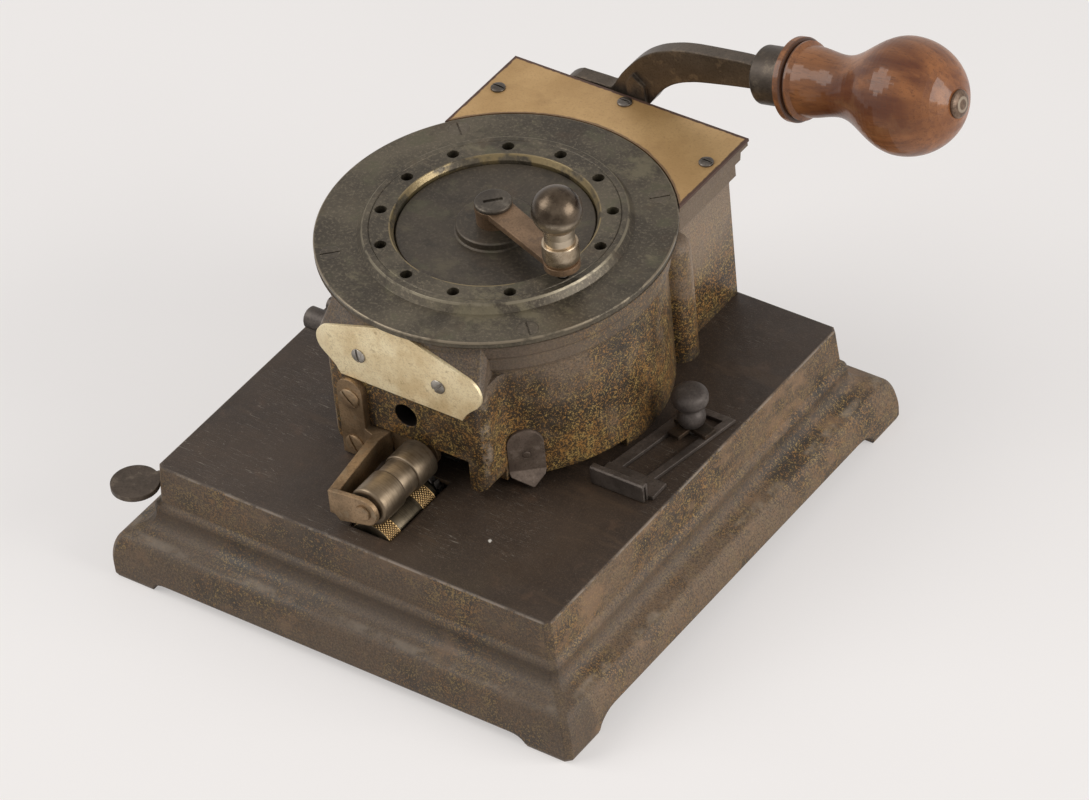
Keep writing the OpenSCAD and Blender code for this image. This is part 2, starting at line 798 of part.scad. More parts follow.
module rear_bearing() {
    color(dark_steel)
        difference() {
            union() {
                translate([roller_x - bearing_half, rear_bearing_y, plate_z - bearing_h])
                    cube([2 * bearing_half + 5, rear_bearing_t, bearing_h]);
                translate([roller_x - 8, rear_bearing_y, plate_z - bearing_h - 3])
                    cube([16, rear_bearing_t, bearing_h + 5]);
                translate([roller_x + pawl_dx - lug_left, rear_bearing_y, feed_z + pawl_dz - 5])
                    cube([lug_left + 6, rear_bearing_t, plate_z - feed_z - pawl_dz + 5]);
            }
            rod_y(roller_x, feed_z, journal_r + run_fit, rear_bearing_y - 1, rear_bearing_y + 10);
            rod_y(roller_x + pawl_dx, feed_z + pawl_dz, 1.5 + run_fit, rear_bearing_y - 1,
                rear_bearing_y + 5);
            at_bearing_screws() translate([0, 0, 20]) screw_hole(1.5, 40);
        }
}

module bearing_screws() {
    color(steel) at_bearing_screws() raised_screw(1.5, 2.8, 1.8, 8.6);
}

// Bushes and guides of the head

module front_bush() {
    color(brass)
        difference() {
            rod_y(pivot_x, pivot_z, bush_r, front_bush_y - 6.2, front_bush_y);
            rod_y(pivot_x, pivot_z, shaft_r + run_fit, front_bush_y - 10, front_bush_y + 10);
        }
}

module rear_bush() {
    color(brass)
        difference() {
            rod_y(pivot_x, pivot_z, bush_r, rear_y - head_wall_t, bush_end_y - 0.1);
            rod_y(pivot_x, pivot_z, shaft_r + run_fit, rear_y - 20, rear_y + 20);
        }
}

module spindle_bush() {
    color(brass)
        at_head() translate([0, 0, web_z - 18])
            difference() {
                cylinder(r = bush_r + 0.5, h = cast_z - web_z + 17.9);
                translate([0, 0, -1]) cylinder(r = spindle_r + run_fit, h = 30);
            }
}

module plunger_guide() {
    color(dark_steel)
        difference() {
            union() {
                translate([head_x - 14, guide_face_y(), guide_z - 5]) cube([28, 2.9, 22]);
                translate([head_x - 9, guide_face_y(), guide_z])
                    cube([18, station_y + 7 - guide_face_y(), guide_t]);
            }
            translate([head_x, station_y, guide_z - 10]) cylinder(r = plunger_r + run_fit, h = 30);
            at_guide_screws() screw_hole(1.4, 5);
        }
}

module guide_screws() {
    color(steel) at_guide_screws() raised_screw(1.4, 2.7, 1.4, 7);
}

module release_stud() {
    color(steel) translate([release_x, release_y, 0]) {
        translate([0, 0, release_z - 3]) cylinder(r = 4, h = 1.8, $fn = small_fn);
        translate([0, 0, release_z - 1.2 - eps])
            cylinder(r = 2, h = plate_z - release_z + 2.9, $fn = small_fn);
    }
}

module gauge_stud() {
    color(steel) translate([stud_x, stud_y, 0]) {
        translate([0, 0, plate_z - 8]) cylinder(r = 5, h = 3, $fn = 6);
        translate([0, 0, plate_z - 5 - eps]) cylinder(r = stud_r, h = thumb_z + 11.5 - plate_z + 5);
    }
}

module gauge_clamp() {
    color(brass)
        translate([stud_x, stud_y, clamp_z])
            rotate(-gauge_skew)
                difference() {
                    union() {
                        translate([-6.6, -2.9, 0]) cube([16, 5.8, clamp_t]);
                        translate([-3.4, -9.6, 0]) cube([5.4, 8, clamp_t]);
                    }
                    translate([0, 0, -1]) cylinder(r = stud_r + run_fit, h = 5);
                }
}

module pawl_stud() {
    color(steel) {
        rod_y(roller_x + pawl_dx, feed_z + pawl_dz, 1.5, ratchet_y - 1.2, rear_bearing_y + 4);
        rod_y(roller_x + pawl_dx, feed_z + pawl_dz, 3, ratchet_y - 2.2, ratchet_y - 1.2 + eps);
    }
}

module side_pin() {
    color(dark_steel)
        translate([head_x - 55.4, button_y + 10, button_z])
            rotate([0, 90, 0]) {
                translate([0, 0, 1]) cylinder(r = 2, h = 12, $fn = small_fn);
                cylinder(r = 2.8, h = 1.5, $fn = small_fn);
            }
}

// Press lever

module lever_outline() {
    top_end = handle_tilt_point(0, bar_half);
    low_end = handle_tilt_point(0, -bar_half);
    polygon(concat(arc(0, 0, lever_hub_r, lever_hub_r, 110, 315, 24),
        smooth([[29.9, 12.4], [34.6, 19.1], [39.5, 24], [44.3, 27.1], [49, 29.2], [53.6, 30.8],
        [62.8, 33.2], [72, 35.4], low_end], 4), smooth([top_end, [73.4, 47.6], [64.3, 46.2],
        [55.2, 44.7], [49.5, 43.6], [43.6, 42], [36.7, 39.2], [32, 36.6], [27.1, 33], [22.2, 28],
        [17, 21.4], [12.7, 14.4], [10.6, 13.2], [7.4, 13.1]], 3)));
}

function handle_tilt_point(s, up) = [handle_root_x + s * cos(handle_tilt) - up * sin(handle_tilt),
    handle_root_z + s * sin(handle_tilt) + up * cos(handle_tilt)];

module lever_arm() {
    color(copper_brown)
        difference() {
            union() {
                translate([pivot_x, 0, pivot_z]) upright(lever_y, lever_y + lever_t) lever_outline();
                translate([pivot_x, 0, pivot_z]) upright(lever_y - 1.6, lever_y + eps)
                    polygon([[20.5, 10], [25, 8.5], [28.5, 12], [28, 20], [23, 24], [20, 20]]);
            }
            rod_y(pivot_x, pivot_z, shaft_r + run_fit, lever_y - 5, lever_y + lever_t + 5);
            on_handle() translate([0, 0, -tenon_len - 0.5])
                cylinder(r = tenon_r + run_fit, h = tenon_len + 2, $fn = small_fn);
        }
}

module lever_shaft() {
    color(steel)
        difference() {
            rod_y(pivot_x, pivot_z, shaft_r, front_bush_y - 6, lever_y + lever_t + 3.8);
            translate([pivot_x - 10, hammer_y, pivot_z]) rotate([0, 90, 0])
                cylinder(r = 1.5 + run_fit, h = 20, $fn = small_fn);
        }
}

module shaft_nut() {
    color(steel)
        translate([pivot_x, lever_y + lever_t, pivot_z])
            rotate([-90, 0, 0])
                difference() {
                    cylinder(r = 8, h = 3.4, $fn = 6);
                    translate([0, 0, -1]) cylinder(r = shaft_r + run_fit, h = 6);
                }
}

module hammer_arm() {
    color(dark_steel)
        difference() {
            upright(hammer_y - 3.9, hammer_y + 5.4) {
                translate([pivot_x, pivot_z]) circle(r = hammer_hub_r);
                link2d([pivot_x, pivot_z], pad_r, [head_x, pivot_z], pad_r);
            }
            rod_y(pivot_x, pivot_z, shaft_r + run_fit, hammer_y - 10, hammer_y + 10);
            translate([pivot_x - 10, hammer_y, pivot_z]) rotate([0, 90, 0])
                cylinder(r = 1.5 + run_fit, h = 18, $fn = small_fn);
        }
}

module hammer_pin() {
    color(steel) translate([pivot_x - hammer_hub_r + 0.2, hammer_y, pivot_z]) rotate([0, 90, 0])
        cylinder(r = 1.5, h = 2 * hammer_hub_r - 0.4, $fn = small_fn);
}

module handle_ferrule() {
    color(copper_brown)
        on_handle()
            difference() {
                rotate_extrude()
                    polygon([[0, 0], [ferrule_r - 0.6, 0], [ferrule_r, 0.6], [ferrule_r, ferrule_len],
                        [0, ferrule_len]]);
                translate([0, 0, -1]) cylinder(r = rod_r + run_fit, h = 20);
            }
}

module handle_rod() {
    color(steel)
        on_handle() {
            translate([0, 0, -tenon_len]) cylinder(r = tenon_r, h = tenon_len + eps, $fn = small_fn);
            cylinder(r = rod_r, h = handle_len - 4);
        }
}

// Turned profile of the wood: a double rim, a hollow neck and a bulb
function wood_profile() = let (rim = ferrule_len, neck_s = 35.6, bulb_s = handle_len - 22.5,
    neck = 11.6, bulb = bulb_d / 2, tail = 23.5) concat(
    [[rod_r + run_fit, rim], [14.6, rim], [16.1, rim + 1], [16.1, rim + 3.2], [15.5, rim + 3.9],
    [14.4, rim + 4.1], [14.4, rim + 4.6], [15, rim + 4.9], [15, rim + 5.8], [13.5, rim + 7]],
    [for (i = [1:7]) [13.5 + (neck - 13.5) * ease(i / 7), 20.5 + (neck_s - 20.5) * i / 7]],
    [for (i = [1:14]) [neck + (bulb - neck) * ease(i / 14), neck_s + (bulb_s - neck_s) * i / 14]],
    [for (i = [1:12]) let (s = 22.5 * i / 12) [bulb * sqrt(1 - pow(s / tail, 2)), bulb_s + s]],
    [[rod_r + run_fit, handle_len]]);

module wood_handle() {
    color(red_wood) on_handle() rotate_extrude() polygon(wood_profile());
}

module handle_button() {
    color(copper_brown)
        on_handle() translate([0, 0, handle_len])
            rotate_extrude()
                polygon(concat([[0, 0], [5.35, 0], [5.35, 0.6]], arc(0, 0.6, 5.35, 1.6, 10, 90, 8)));
}

// Plunger that the hammer arm drives down on the chosen punch, and its spring

module plunger() {
    color(steel)
        translate([head_x, station_y, 0]) {
            translate([0, 0, plunger_bottom])
                cylinder(r = plunger_r, h = plunger_top - plunger_head_h - plunger_bottom + eps);
            translate([0, 0, plunger_top - plunger_head_h]) cylinder(r = plunger_head_r, h = plunger_head_h);
        }
}

// Coil as one tube of rings along a helix
function coil_ring(t, r, wire, turns, h, sides) = let (a = 360 * turns * t, rise = h * t)
    [for (k = [0:sides - 1]) let (b = 360 * k / sides, q = r + wire * cos(b))
        [q * cos(a), q * sin(a), rise + wire * sin(b)]];

module coil(r, wire, turns, h) {
    sides = 8;
    count = 12 * turns;
    points = [for (i = [0:count]) each coil_ring(i / count, r, wire, turns, h, sides)];
    walls = [for (i = [0:count - 1], k = [0:sides - 1]) let (n = (k + 1) % sides)
        [i * sides + k, (i + 1) * sides + k, (i + 1) * sides + n, i * sides + n]];
    ends = [[for (k = [0:sides - 1]) k], [for (k = [sides - 1:-1:0]) count * sides + k]];
    polyhedron(points = points, faces = concat(walls, ends));
}

module return_spring() {
    wire = 0.55;
    low = guide_z + guide_t + wire + 0.1;
    color(steel)
        translate([head_x, station_y, low])
            coil(5.3, wire, 5, plunger_top - plunger_head_h - low - wire - 0.1);
}

// Indexer: spindle, dial, crank and the punch wheel

module index_spindle() {
    color(steel)
        at_head()
            difference() {
                translate([0, 0, wheel_z - 2.4]) cylinder(r = spindle_r, h = boss_z - wheel_z + 2.4);
                translate([0, 0, boss_z - 12]) cylinder(r = 3 + run_fit, h = 13, $fn = small_fn);
                translate([-10, 0, wheel_z + 11]) rotate([0, 90, 0])
                    cylinder(r = 1.5 + run_fit, h = 20, $fn = small_fn);
            }
}

module dial_disc() {
    color(dark_bronze)
        at_head()
            rotate_extrude()
                polygon([[spindle_r + run_fit, cast_z + 0.3], [dial_r, cast_z + 0.3], [dial_r, ring_z - 0.4],
                    [dial_r - 0.4, ring_z], [dial_boss_r + 0.8, ring_z - 0.4], [dial_boss_r, ring_z],
                    [dial_boss_r, boss_z - 0.5], [dial_boss_r - 0.5, boss_z], [spindle_r + run_fit, boss_z]]);
}

module crank_arm() {
    color(copper_brown)
        at_head() rotate(crank_a)
            difference() {
                union() {
                    translate([0, 0, arm_z - arm_t])
                        linear_extrude(height = arm_t) {
                            circle(r = 7.2);
                            translate([index_r, 0]) circle(r = 6.8);
                            link2d([0, 0], 5.6, [index_r, 0], 5);
                        }
                    translate([0, 0, boss_z]) cylinder(r = 7, h = arm_z - arm_t - boss_z + eps);
                }
                translate([0, 0, boss_z - 1]) cylinder(r = 3 + run_fit, h = 12, $fn = small_fn);
                translate([index_r, 0, arm_z - 5]) cylinder(r = pin_r + run_fit, h = 10, $fn = small_fn);
            }
}

module crank_screw() {
    color(bronze)
        at_head() translate([0, 0, arm_z])
            difference() {
                union() {
                    rotate_extrude()
                        polygon(concat([[0, 0], [crank_head_r, 0]],
                            arc(crank_head_r - 0.8, crank_head_h - 0.8, 0.8, 0.8, 0, 90, 5),
                            [[0, crank_head_h]]));
                    translate([0, 0, -17]) cylinder(r = 3, h = 17 + eps, $fn = small_fn);
                }
                rotate(slot_a) translate([-3.7, -0.8, crank_head_h - 0.9]) cube([7.4, 1.6, 3]);
            }
}

module knob_barrel() {
    color(worn_nickel)
        at_crank_foot()
            difference() {
                translate([0, 0, arm_z])
                    rotate_extrude()
                        polygon(concat([[0, 0]], smooth([[barrel_r - 1.1, 0], [barrel_r - 0.4, 1.2],
                            [barrel_r, 2.9], [barrel_r, 5], [barrel_r - 0.1, 7], [barrel_r - 0.2, barrel_h - 0.3]], 3),
                            [[barrel_r - 0.4, barrel_h], [0, barrel_h]]));
                translate([0, 0, arm_z - 1]) cylinder(r = pin_r + run_fit, h = 20, $fn = small_fn);
                translate([0, 0, arm_z + 0.8]) cylinder(r = neck_r + run_fit, h = 10);
            }
}

module punch_wheel() {
    color(dark_steel)
        at_head()
            difference() {
                union() {
                    translate([0, 0, wheel_z]) cylinder(r = wheel_r, h = wheel_t);
                    translate([0, 0, wheel_z - 2]) cylinder(r = 10, h = 17);
                }
                translate([0, 0, wheel_z - 5]) cylinder(r = spindle_r + run_fit, h = 30);
                for (i = [0:index_count - 1]) rotate(-90 + i * index_step)
                    translate([index_r, 0, wheel_z - 1])
                        cylinder(r = punch_r + run_fit, h = 10, $fn = small_fn);
                translate([-12, 0, wheel_z + 11]) rotate([0, 90, 0])
                    cylinder(r = 1.5 + run_fit, h = 24, $fn = small_fn);
            }
}

module wheel_pin() {
    color(steel) at_head() translate([-9.6, 0, wheel_z + 11]) rotate([0, 90, 0])
        cylinder(r = 1.5, h = 19.2, $fn = small_fn);
}

module punch_pins() {
    color(steel)
        at_head() for (i = [0:index_count - 1]) rotate(-90 + i * index_step) translate([index_r, 0, 0]) {
            translate([0, 0, throat_z + 1])
                cylinder(r = punch_r, h = punch_top - throat_z - 3 + eps, $fn = small_fn);
            translate([0, 0, punch_top - 2]) cylinder(r = 3.2, h = 2, $fn = small_fn);
        }
}

module index_knob() {
    neck_in = barrel_h - 1;
    color(worn_nickel)
        at_crank_foot()
            difference() {
                translate([0, 0, arm_z + barrel_h])
                    rotate_extrude()
                        polygon(concat([[0, -neck_in], [neck_r, -neck_in], [neck_r, knob_pull + 0.2]],
                            arc(0, ball_z - arm_z - barrel_h, ball_r, ball_r, -50, 90, 28)));
                translate([0, 0, arm_z]) cylinder(r = pin_r + run_fit, h = pin_top + 0.2, $fn = small_fn);
            }
}

// Pin fixed in the knob: it slides in the crank's end, and its tip rides over the index holes
module index_pin() {
    color(steel)
        at_crank_foot() translate([0, 0, annulus_z + pin_lift])
            cylinder(r = pin_r, h = arm_z - annulus_z - pin_lift + pin_top, $fn = small_fn);
}

// Rollers

// Profile of a roller turned along its axis: [length, radius] bands from the front
module banded_roller(bands, bore) {
    starts = [for (i = 0, s = 0; i < len(bands); s = s + bands[i][0], i = i + 1) s];
    total = starts[len(bands) - 1] + bands[len(bands) - 1][0];
    rotate_extrude()
        polygon(concat([[bore, 0]], [for (i = [0:len(bands) - 1]) each
            [[bands[i][1], starts[i]], [bands[i][1], starts[i] + bands[i][0]]]], [[bore, total]]));
}

module feed_roller() {
    color(brass)
        translate([roller_x, roller_y0, feed_z])
            rotate([-90, 0, 0])
                banded_roller([[7, feed_r], [roller_len - 19, feed_r - 1], [8, feed_r], [4, feed_r - 3]],
                    3 + run_fit);
}

module feed_shaft() {
    color(steel) {
        rod_y(roller_x, feed_z, 3, slot_y0 + 0.2, slot_y1 - 0.2);
        rod_y(roller_x, feed_z, journal_r, inner_front_y + 0.2, slot_y0 + 0.3);
        rod_y(roller_x, feed_z, journal_r, slot_y1 - 0.3, rear_bearing_y + rear_bearing_t - 0.2);
    }
}

module ratchet_wheel() {
    step = 360 / ratchet_teeth;
    color(steel)
        translate([roller_x, 0, feed_z])
            upright(ratchet_y, ratchet_y + ratchet_t)
                difference() {
                    polygon([for (i = [0:ratchet_teeth - 1]) each [
                        ratchet_r * [cos(i * step), sin(i * step)],
                        (ratchet_r - 1.5) * [cos(i * step + 2), sin(i * step + 2)]]]);
                    circle(r = 3 + run_fit);
                }
}

module pressure_roller() {
    color(brass)
        translate([roller_x, roller_y0, press_z])
            rotate([-90, 0, 0])
                banded_roller([[roller_len - 19.6, press_r], [7.9, press_r - 0.8], [11.7, press_r]], 3.02);
}

module pressure_shaft() {
    color(steel) rod_y(roller_x, press_z, 3, tab_y - 1, nose_y + 3.6);
}

module feed_pawl() {
    tip = 9.7 * [cos(-20), sin(-20)];
    color(dark_steel)
        translate([roller_x, 0, feed_z])
            difference() {
                upright(ratchet_y, ratchet_y + ratchet_t)
                    link2d([pawl_dx, pawl_dz], 3.5, tip, 0.8);
                rod_y(pawl_dx, pawl_dz, 1.5 + run_fit, ratchet_y - 5, ratchet_y + 10);
            }
}

// Check gauge: an upright flange folded over, a crossbar and two rails

module check_gauge() {
    t = 1.2;
    drift = tan(gauge_skew);
    y = gauge_y;
    fold_y = gauge_y + 3.2;
    low = gauge_z;
    high = gauge_z + 7.9;
    color(dark_steel) {
        translate([0, 0, gauge_z])
            linear_extrude(height = gauge_t) {
                translate([gauge_x, y + 3.2]) square([gauge_w + 2, 9]);
                for (q = [[0.6, 5.6, 0], [16.6, 19.8, 0], [0.6, 19.8, rail_len - 3]])
                    polygon([[gauge_x + q[0] + q[2] * drift, y + 10 + q[2]],
                        [gauge_x + q[1] + q[2] * drift, y + 10 + q[2]],
                        [gauge_x + q[1] + rail_len * drift, y + 10 + rail_len],
                        [gauge_x + q[0] + rail_len * drift, y + 10 + rail_len]]);
            }
        translate([gauge_x, 0, 0])
            rotate([90, 0, 90])
                linear_extrude(height = gauge_w)
                    polygon([[y, low + 0.3], [y + t, low + 0.3], [y + t, high - t], [fold_y - t, high - t],
                        [fold_y - t, low], [fold_y + eps, low], [fold_y + eps, high - 0.6],
                        [fold_y - 0.6, high], [y + 0.6, high], [y, high - 0.6]]);
    }
}

// Flattened round outline in radius and height
function pill(cz, r, h, a0, a1, n) = [for (i = [0:n]) let (a = a0 + (a1 - a0) * i / n)
    [r * pow(abs(cos(a)), 0.62), cz + h * sign(sin(a)) * pow(abs(sin(a)), 0.8)]];

module gauge_thumbscrew() {
    color(dark_steel)
        translate([stud_x, stud_y, thumb_z])
            difference() {
                rotate_extrude()
                    polygon(concat([[0, 0], [4.2, 0]], arc(1.5, 3.4, 4, 4.6, -46, 50, 12),
                        [[3.95, 7.7]], pill(12.2, thumb_d / 2, 4.1, -64, 90, 26)));
                translate([0, 0, -1]) cylinder(r = stud_r + run_fit, h = 13.5);
            }
}

module release_lever() {
    color(dark_steel)
        translate([release_x, release_y, release_z - 1])
            rotate(release_a)
                difference() {
                    linear_extrude(height = 2) {
                        circle(r = 5.4);
                        translate([release_len, 0]) circle(r = 9.5);
                        translate([0, -3]) square([release_len, 6]);
                        rotate(180) translate([0, -2.5]) square([16, 5]);
                    }
                    translate([0, 0, -1]) cylinder(r = 2 + run_fit, h = 5, $fn = small_fn);
                }
}

module side_button() {
    neck = collar_x - button_x;
    color(dark_steel)
        translate([button_x, button_y, button_z])
            rotate([0, 90, 0])
                rotate_extrude($fn = small_fn)
                    polygon([[0, 0], [button_r - 0.6, 0], [button_r, 0.6], [button_r, neck], [6.4, neck],
                        [6.4, neck + 2], [2.5, neck + 2], [2.5, neck + 11], [0, neck + 11]]);
}

base_casting();
die_plate();
die_screws();
head_casting();
head_bolts();
index_ring();
ring_screws();
top_plate();
top_plate_screws();
nameplate();
nameplate_screws();
roller_bracket();
bracket_screws();
line_pointer();
pointer_rivet();
front_bearing();
rear_bearing();
bearing_screws();
front_bush();
rear_bush();
spindle_bush();
plunger_guide();
guide_screws();
release_stud();
gauge_stud();
gauge_clamp();
pawl_stud();
side_pin();
lever_arm();
lever_shaft();
shaft_nut();
hammer_arm();
hammer_pin();
handle_ferrule();
handle_rod();
wood_handle();
handle_button();
plunger();
return_spring();
index_spindle();
dial_disc();
crank_arm();
crank_screw();
knob_barrel();
punch_wheel();
wheel_pin();
punch_pins();
index_knob();
index_pin();
feed_roller();
feed_shaft();
ratchet_wheel();
pressure_roller();
pressure_shaft();
feed_pawl();
check_gauge();
gauge_thumbscrew();
release_lever();
side_button();
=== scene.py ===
"""Desk check writer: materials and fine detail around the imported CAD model, on a pale studio floor."""
import math

import bmesh
import bpy
from mathutils import Matrix, Vector


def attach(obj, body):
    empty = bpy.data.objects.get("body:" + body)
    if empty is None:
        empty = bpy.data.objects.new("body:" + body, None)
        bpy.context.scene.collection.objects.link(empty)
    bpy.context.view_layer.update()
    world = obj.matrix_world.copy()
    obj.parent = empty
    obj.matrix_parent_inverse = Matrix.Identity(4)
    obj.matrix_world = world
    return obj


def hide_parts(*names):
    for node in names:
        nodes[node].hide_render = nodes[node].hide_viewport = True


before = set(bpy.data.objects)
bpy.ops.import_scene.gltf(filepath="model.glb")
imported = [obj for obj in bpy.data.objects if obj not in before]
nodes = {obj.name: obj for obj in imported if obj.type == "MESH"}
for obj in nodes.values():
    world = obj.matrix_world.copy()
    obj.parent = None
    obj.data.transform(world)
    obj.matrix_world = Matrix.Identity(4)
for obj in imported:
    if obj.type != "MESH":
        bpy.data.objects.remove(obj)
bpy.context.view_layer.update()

# Places on the part, in metres
HEAD = Vector((-0.0026, 0.0121, 0.0))
BASE_TOP = 0.0486
BASE_HALF_X, BASE_HALF_Y = 0.0890, 0.0960
RIDGE_Z, HOLLOW_Z = 0.0198, 0.0265
RING_TOP = 0.1211
RING_EDGE = 0.0678
OIL_HOLE_Z, OIL_HOLE_R = 0.0765, 0.0051
NOSE_FRONT = -0.0519
NOSE_HALF = 0.0350
HOUSING_HALF, HOUSING_REAR = 0.0534, 0.1014
HANDLE_START = Vector((0.057, 0.0, 0.150))
HANDLE_TILT = math.radians(11.75)
ROLLER_X = 0.0036
CHIP = Vector((0.0444, -0.0691, BASE_TOP))


# ---------------------------------------------------------------- node helpers
class Mat:
    """A material with short calls for its nodes."""

    def __init__(self, name):
        self.mat = bpy.data.materials.new(name)
        self.mat.use_nodes = True
        self.tree = self.mat.node_tree
        self.tree.nodes.clear()
        self.out = self.tree.nodes.new("ShaderNodeOutputMaterial")
        self.bsdf = self.tree.nodes.new("ShaderNodeBsdfPrincipled")
        self.tree.links.new(self.bsdf.outputs[0], self.out.inputs[0])
        coord = self.tree.nodes.new("ShaderNodeTexCoord")
        self.pos = coord.outputs["Object"]
        split = self.tree.nodes.new("ShaderNodeSeparateXYZ")
        self.tree.links.new(self.pos, split.inputs[0])
        self.x, self.y, self.z = split.outputs
        self._normal = None

    def feed(self, socket, value):
        if isinstance(value, bpy.types.NodeSocket):
            self.tree.links.new(value, socket)
        elif isinstance(value, (tuple, list)) and len(value) == 3 and socket.type == "RGBA":
            socket.default_value = (*value, 1.0)
        else:
            socket.default_value = value

    def math(self, op, a, b=0.0, clamp=False):
        n = self.tree.nodes.new("ShaderNodeMath")
        n.operation = op
        n.use_clamp = clamp
        self.feed(n.inputs[0], a)
        self.feed(n.inputs[1], b)
        return n.outputs[0]

    def add(self, a, b):
        return self.math("ADD", a, b)

    def sub(self, a, b):
        return self.math("SUBTRACT", a, b)

    def mul(self, a, b):
        return self.math("MULTIPLY", a, b)

    def clamp(self, a):
        return self.math("ADD", a, 0.0, clamp=True)

    def ramp(self, a, low, high, to_low=0.0, to_high=1.0):
        n = self.tree.nodes.new("ShaderNodeMapRange")
        n.interpolation_type = "SMOOTHSTEP"
        self.feed(n.inputs[0], a)
        for i, v in enumerate((low, high, to_low, to_high)):
            n.inputs[i + 1].default_value = v
        return n.outputs[0]

    def mapped(self, scale=(1, 1, 1), turn=(0, 0, 0), shift=(0, 0, 0)):
        n = self.tree.nodes.new("ShaderNodeMapping")
        self.feed(n.inputs[0], self.pos)
        n.inputs["Scale"].default_value = scale
        n.inputs["Rotation"].default_value = turn
        n.inputs["Location"].default_value = shift
        return n.outputs[0]

    def noise(self, scale, detail=3.0, rough=0.55, at=None, distort=0.0):
        n = self.tree.nodes.new("ShaderNodeTexNoise")
        self.feed(n.inputs["Vector"], at or self.pos)
        n.inputs["Scale"].default_value = scale
        n.inputs["Detail"].default_value = detail
        n.inputs["Roughness"].default_value = rough
        n.inputs["Distortion"].default_value = distort
        return n.outputs[0]

    def cells(self, scale, at=None):
        n = self.tree.nodes.new("ShaderNodeTexVoronoi")
        self.feed(n.inputs["Vector"], at or self.pos)
        n.inputs["Scale"].default_value = scale
        return n.outputs["Distance"]

    def mix(self, fac, a, b):
        n = self.tree.nodes.new("ShaderNodeMix")
        n.data_type = "RGBA"
        self.feed(n.inputs[0], fac)
        self.feed(n.inputs[6], a)
        self.feed(n.inputs[7], b)
        return n.outputs[2]

    def radius(self, centre=HEAD):
        dx = self.sub(self.x, centre.x)
        dy = self.sub(self.y, centre.y)
        return self.math("SQRT", self.add(self.mul(dx, dx), self.mul(dy, dy)))

    def band(self, value, centre, half, soft):
        """1 within half of centre, easing to 0 over soft."""
        off = self.math("ABSOLUTE", self.sub(value, centre))
        return self.ramp(off, half, half + soft, 1.0, 0.0)

    def up(self):
        n = self.tree.nodes.new("ShaderNodeNewGeometry")
        s = self.tree.nodes.new("ShaderNodeSeparateXYZ")
        self.tree.links.new(n.outputs["True Normal"], s.inputs[0])
        return s.outputs[2]

    def scratches(self, scale, thin, turn, share=0.5):
        """Sparse fine scratches along one direction."""
        lines = self.noise(scale, 1.0, 0.5, self.mapped((1, thin, 1), turn))
        where = self.noise(scale * 0.23, 2.0, 0.5, self.mapped((1, 1, 1), turn, (0.3, 0.1, 0.2)))
        thread = self.band(lines, 0.5, 0.0015, 0.004)
        return self.mul(thread, self.ramp(where, share, share + 0.06))

    def bump(self, height, depth, strength=1.0):
        n = self.tree.nodes.new("ShaderNodeBump")
        n.inputs["Strength"].default_value = strength
        n.inputs["Distance"].default_value = depth
        self.feed(n.inputs["Height"], height)
        if self._normal is not None:
            self.tree.links.new(self._normal, n.inputs["Normal"])
        self._normal = n.outputs[0]

    def rounded(self, radius):
        n = self.tree.nodes.new("ShaderNodeBevel")
        n.samples = 4
        n.inputs["Radius"].default_value = radius
        if self._normal is not None:
            self.tree.links.new(self._normal, n.inputs["Normal"])
        self._normal = n.outputs[0]

    def finish(self, color, rough, metal=0.0, coat=0.0, coat_rough=0.1, spec=0.5):
        b = self.bsdf
        self.feed(b.inputs["Base Color"], color)
        self.feed(b.inputs["Roughness"], rough)
        self.feed(b.inputs["Metallic"], metal)
        b.inputs["Coat Weight"].default_value = coat
        b.inputs["Coat Roughness"].default_value = coat_rough
        b.inputs["Specular IOR Level"].default_value = spec
        if self._normal is not None:
            self.tree.links.new(self._normal, b.inputs["Normal"])
        return self.mat


# ---------------------------------------------------------------- materials
def speckle(m):
    """Sponged gold specks on black japan: colour and the clouds that carry them."""
    fine = m.noise(2300, 2.0, 0.65)
    mid = m.noise(1050, 2.0, 0.6)
    wide = m.noise(60, 2.0, 0.5)
    patch = m.noise(17, 2.0, 0.5)
    density = m.add(m.mul(wide, 0.13), m.mul(patch, 0.1))
    specks = m.add(m.add(m.mul(fine, 0.55), m.mul(mid, 0.45)), density)
    gold = m.ramp(specks, 0.595, 0.715)
    hue = m.noise(210, 2.0, 0.5)
    ochre = m.mix(m.ramp(hue, 0.42, 0.62), (0.33, 0.165, 0.046), (0.385, 0.248, 0.080))
    black = m.mix(m.ramp(wide, 0.35, 0.65), (0.024, 0.0175, 0.011), (0.047, 0.033, 0.020))
    return m.mix(gold, black, ochre), wide, patch


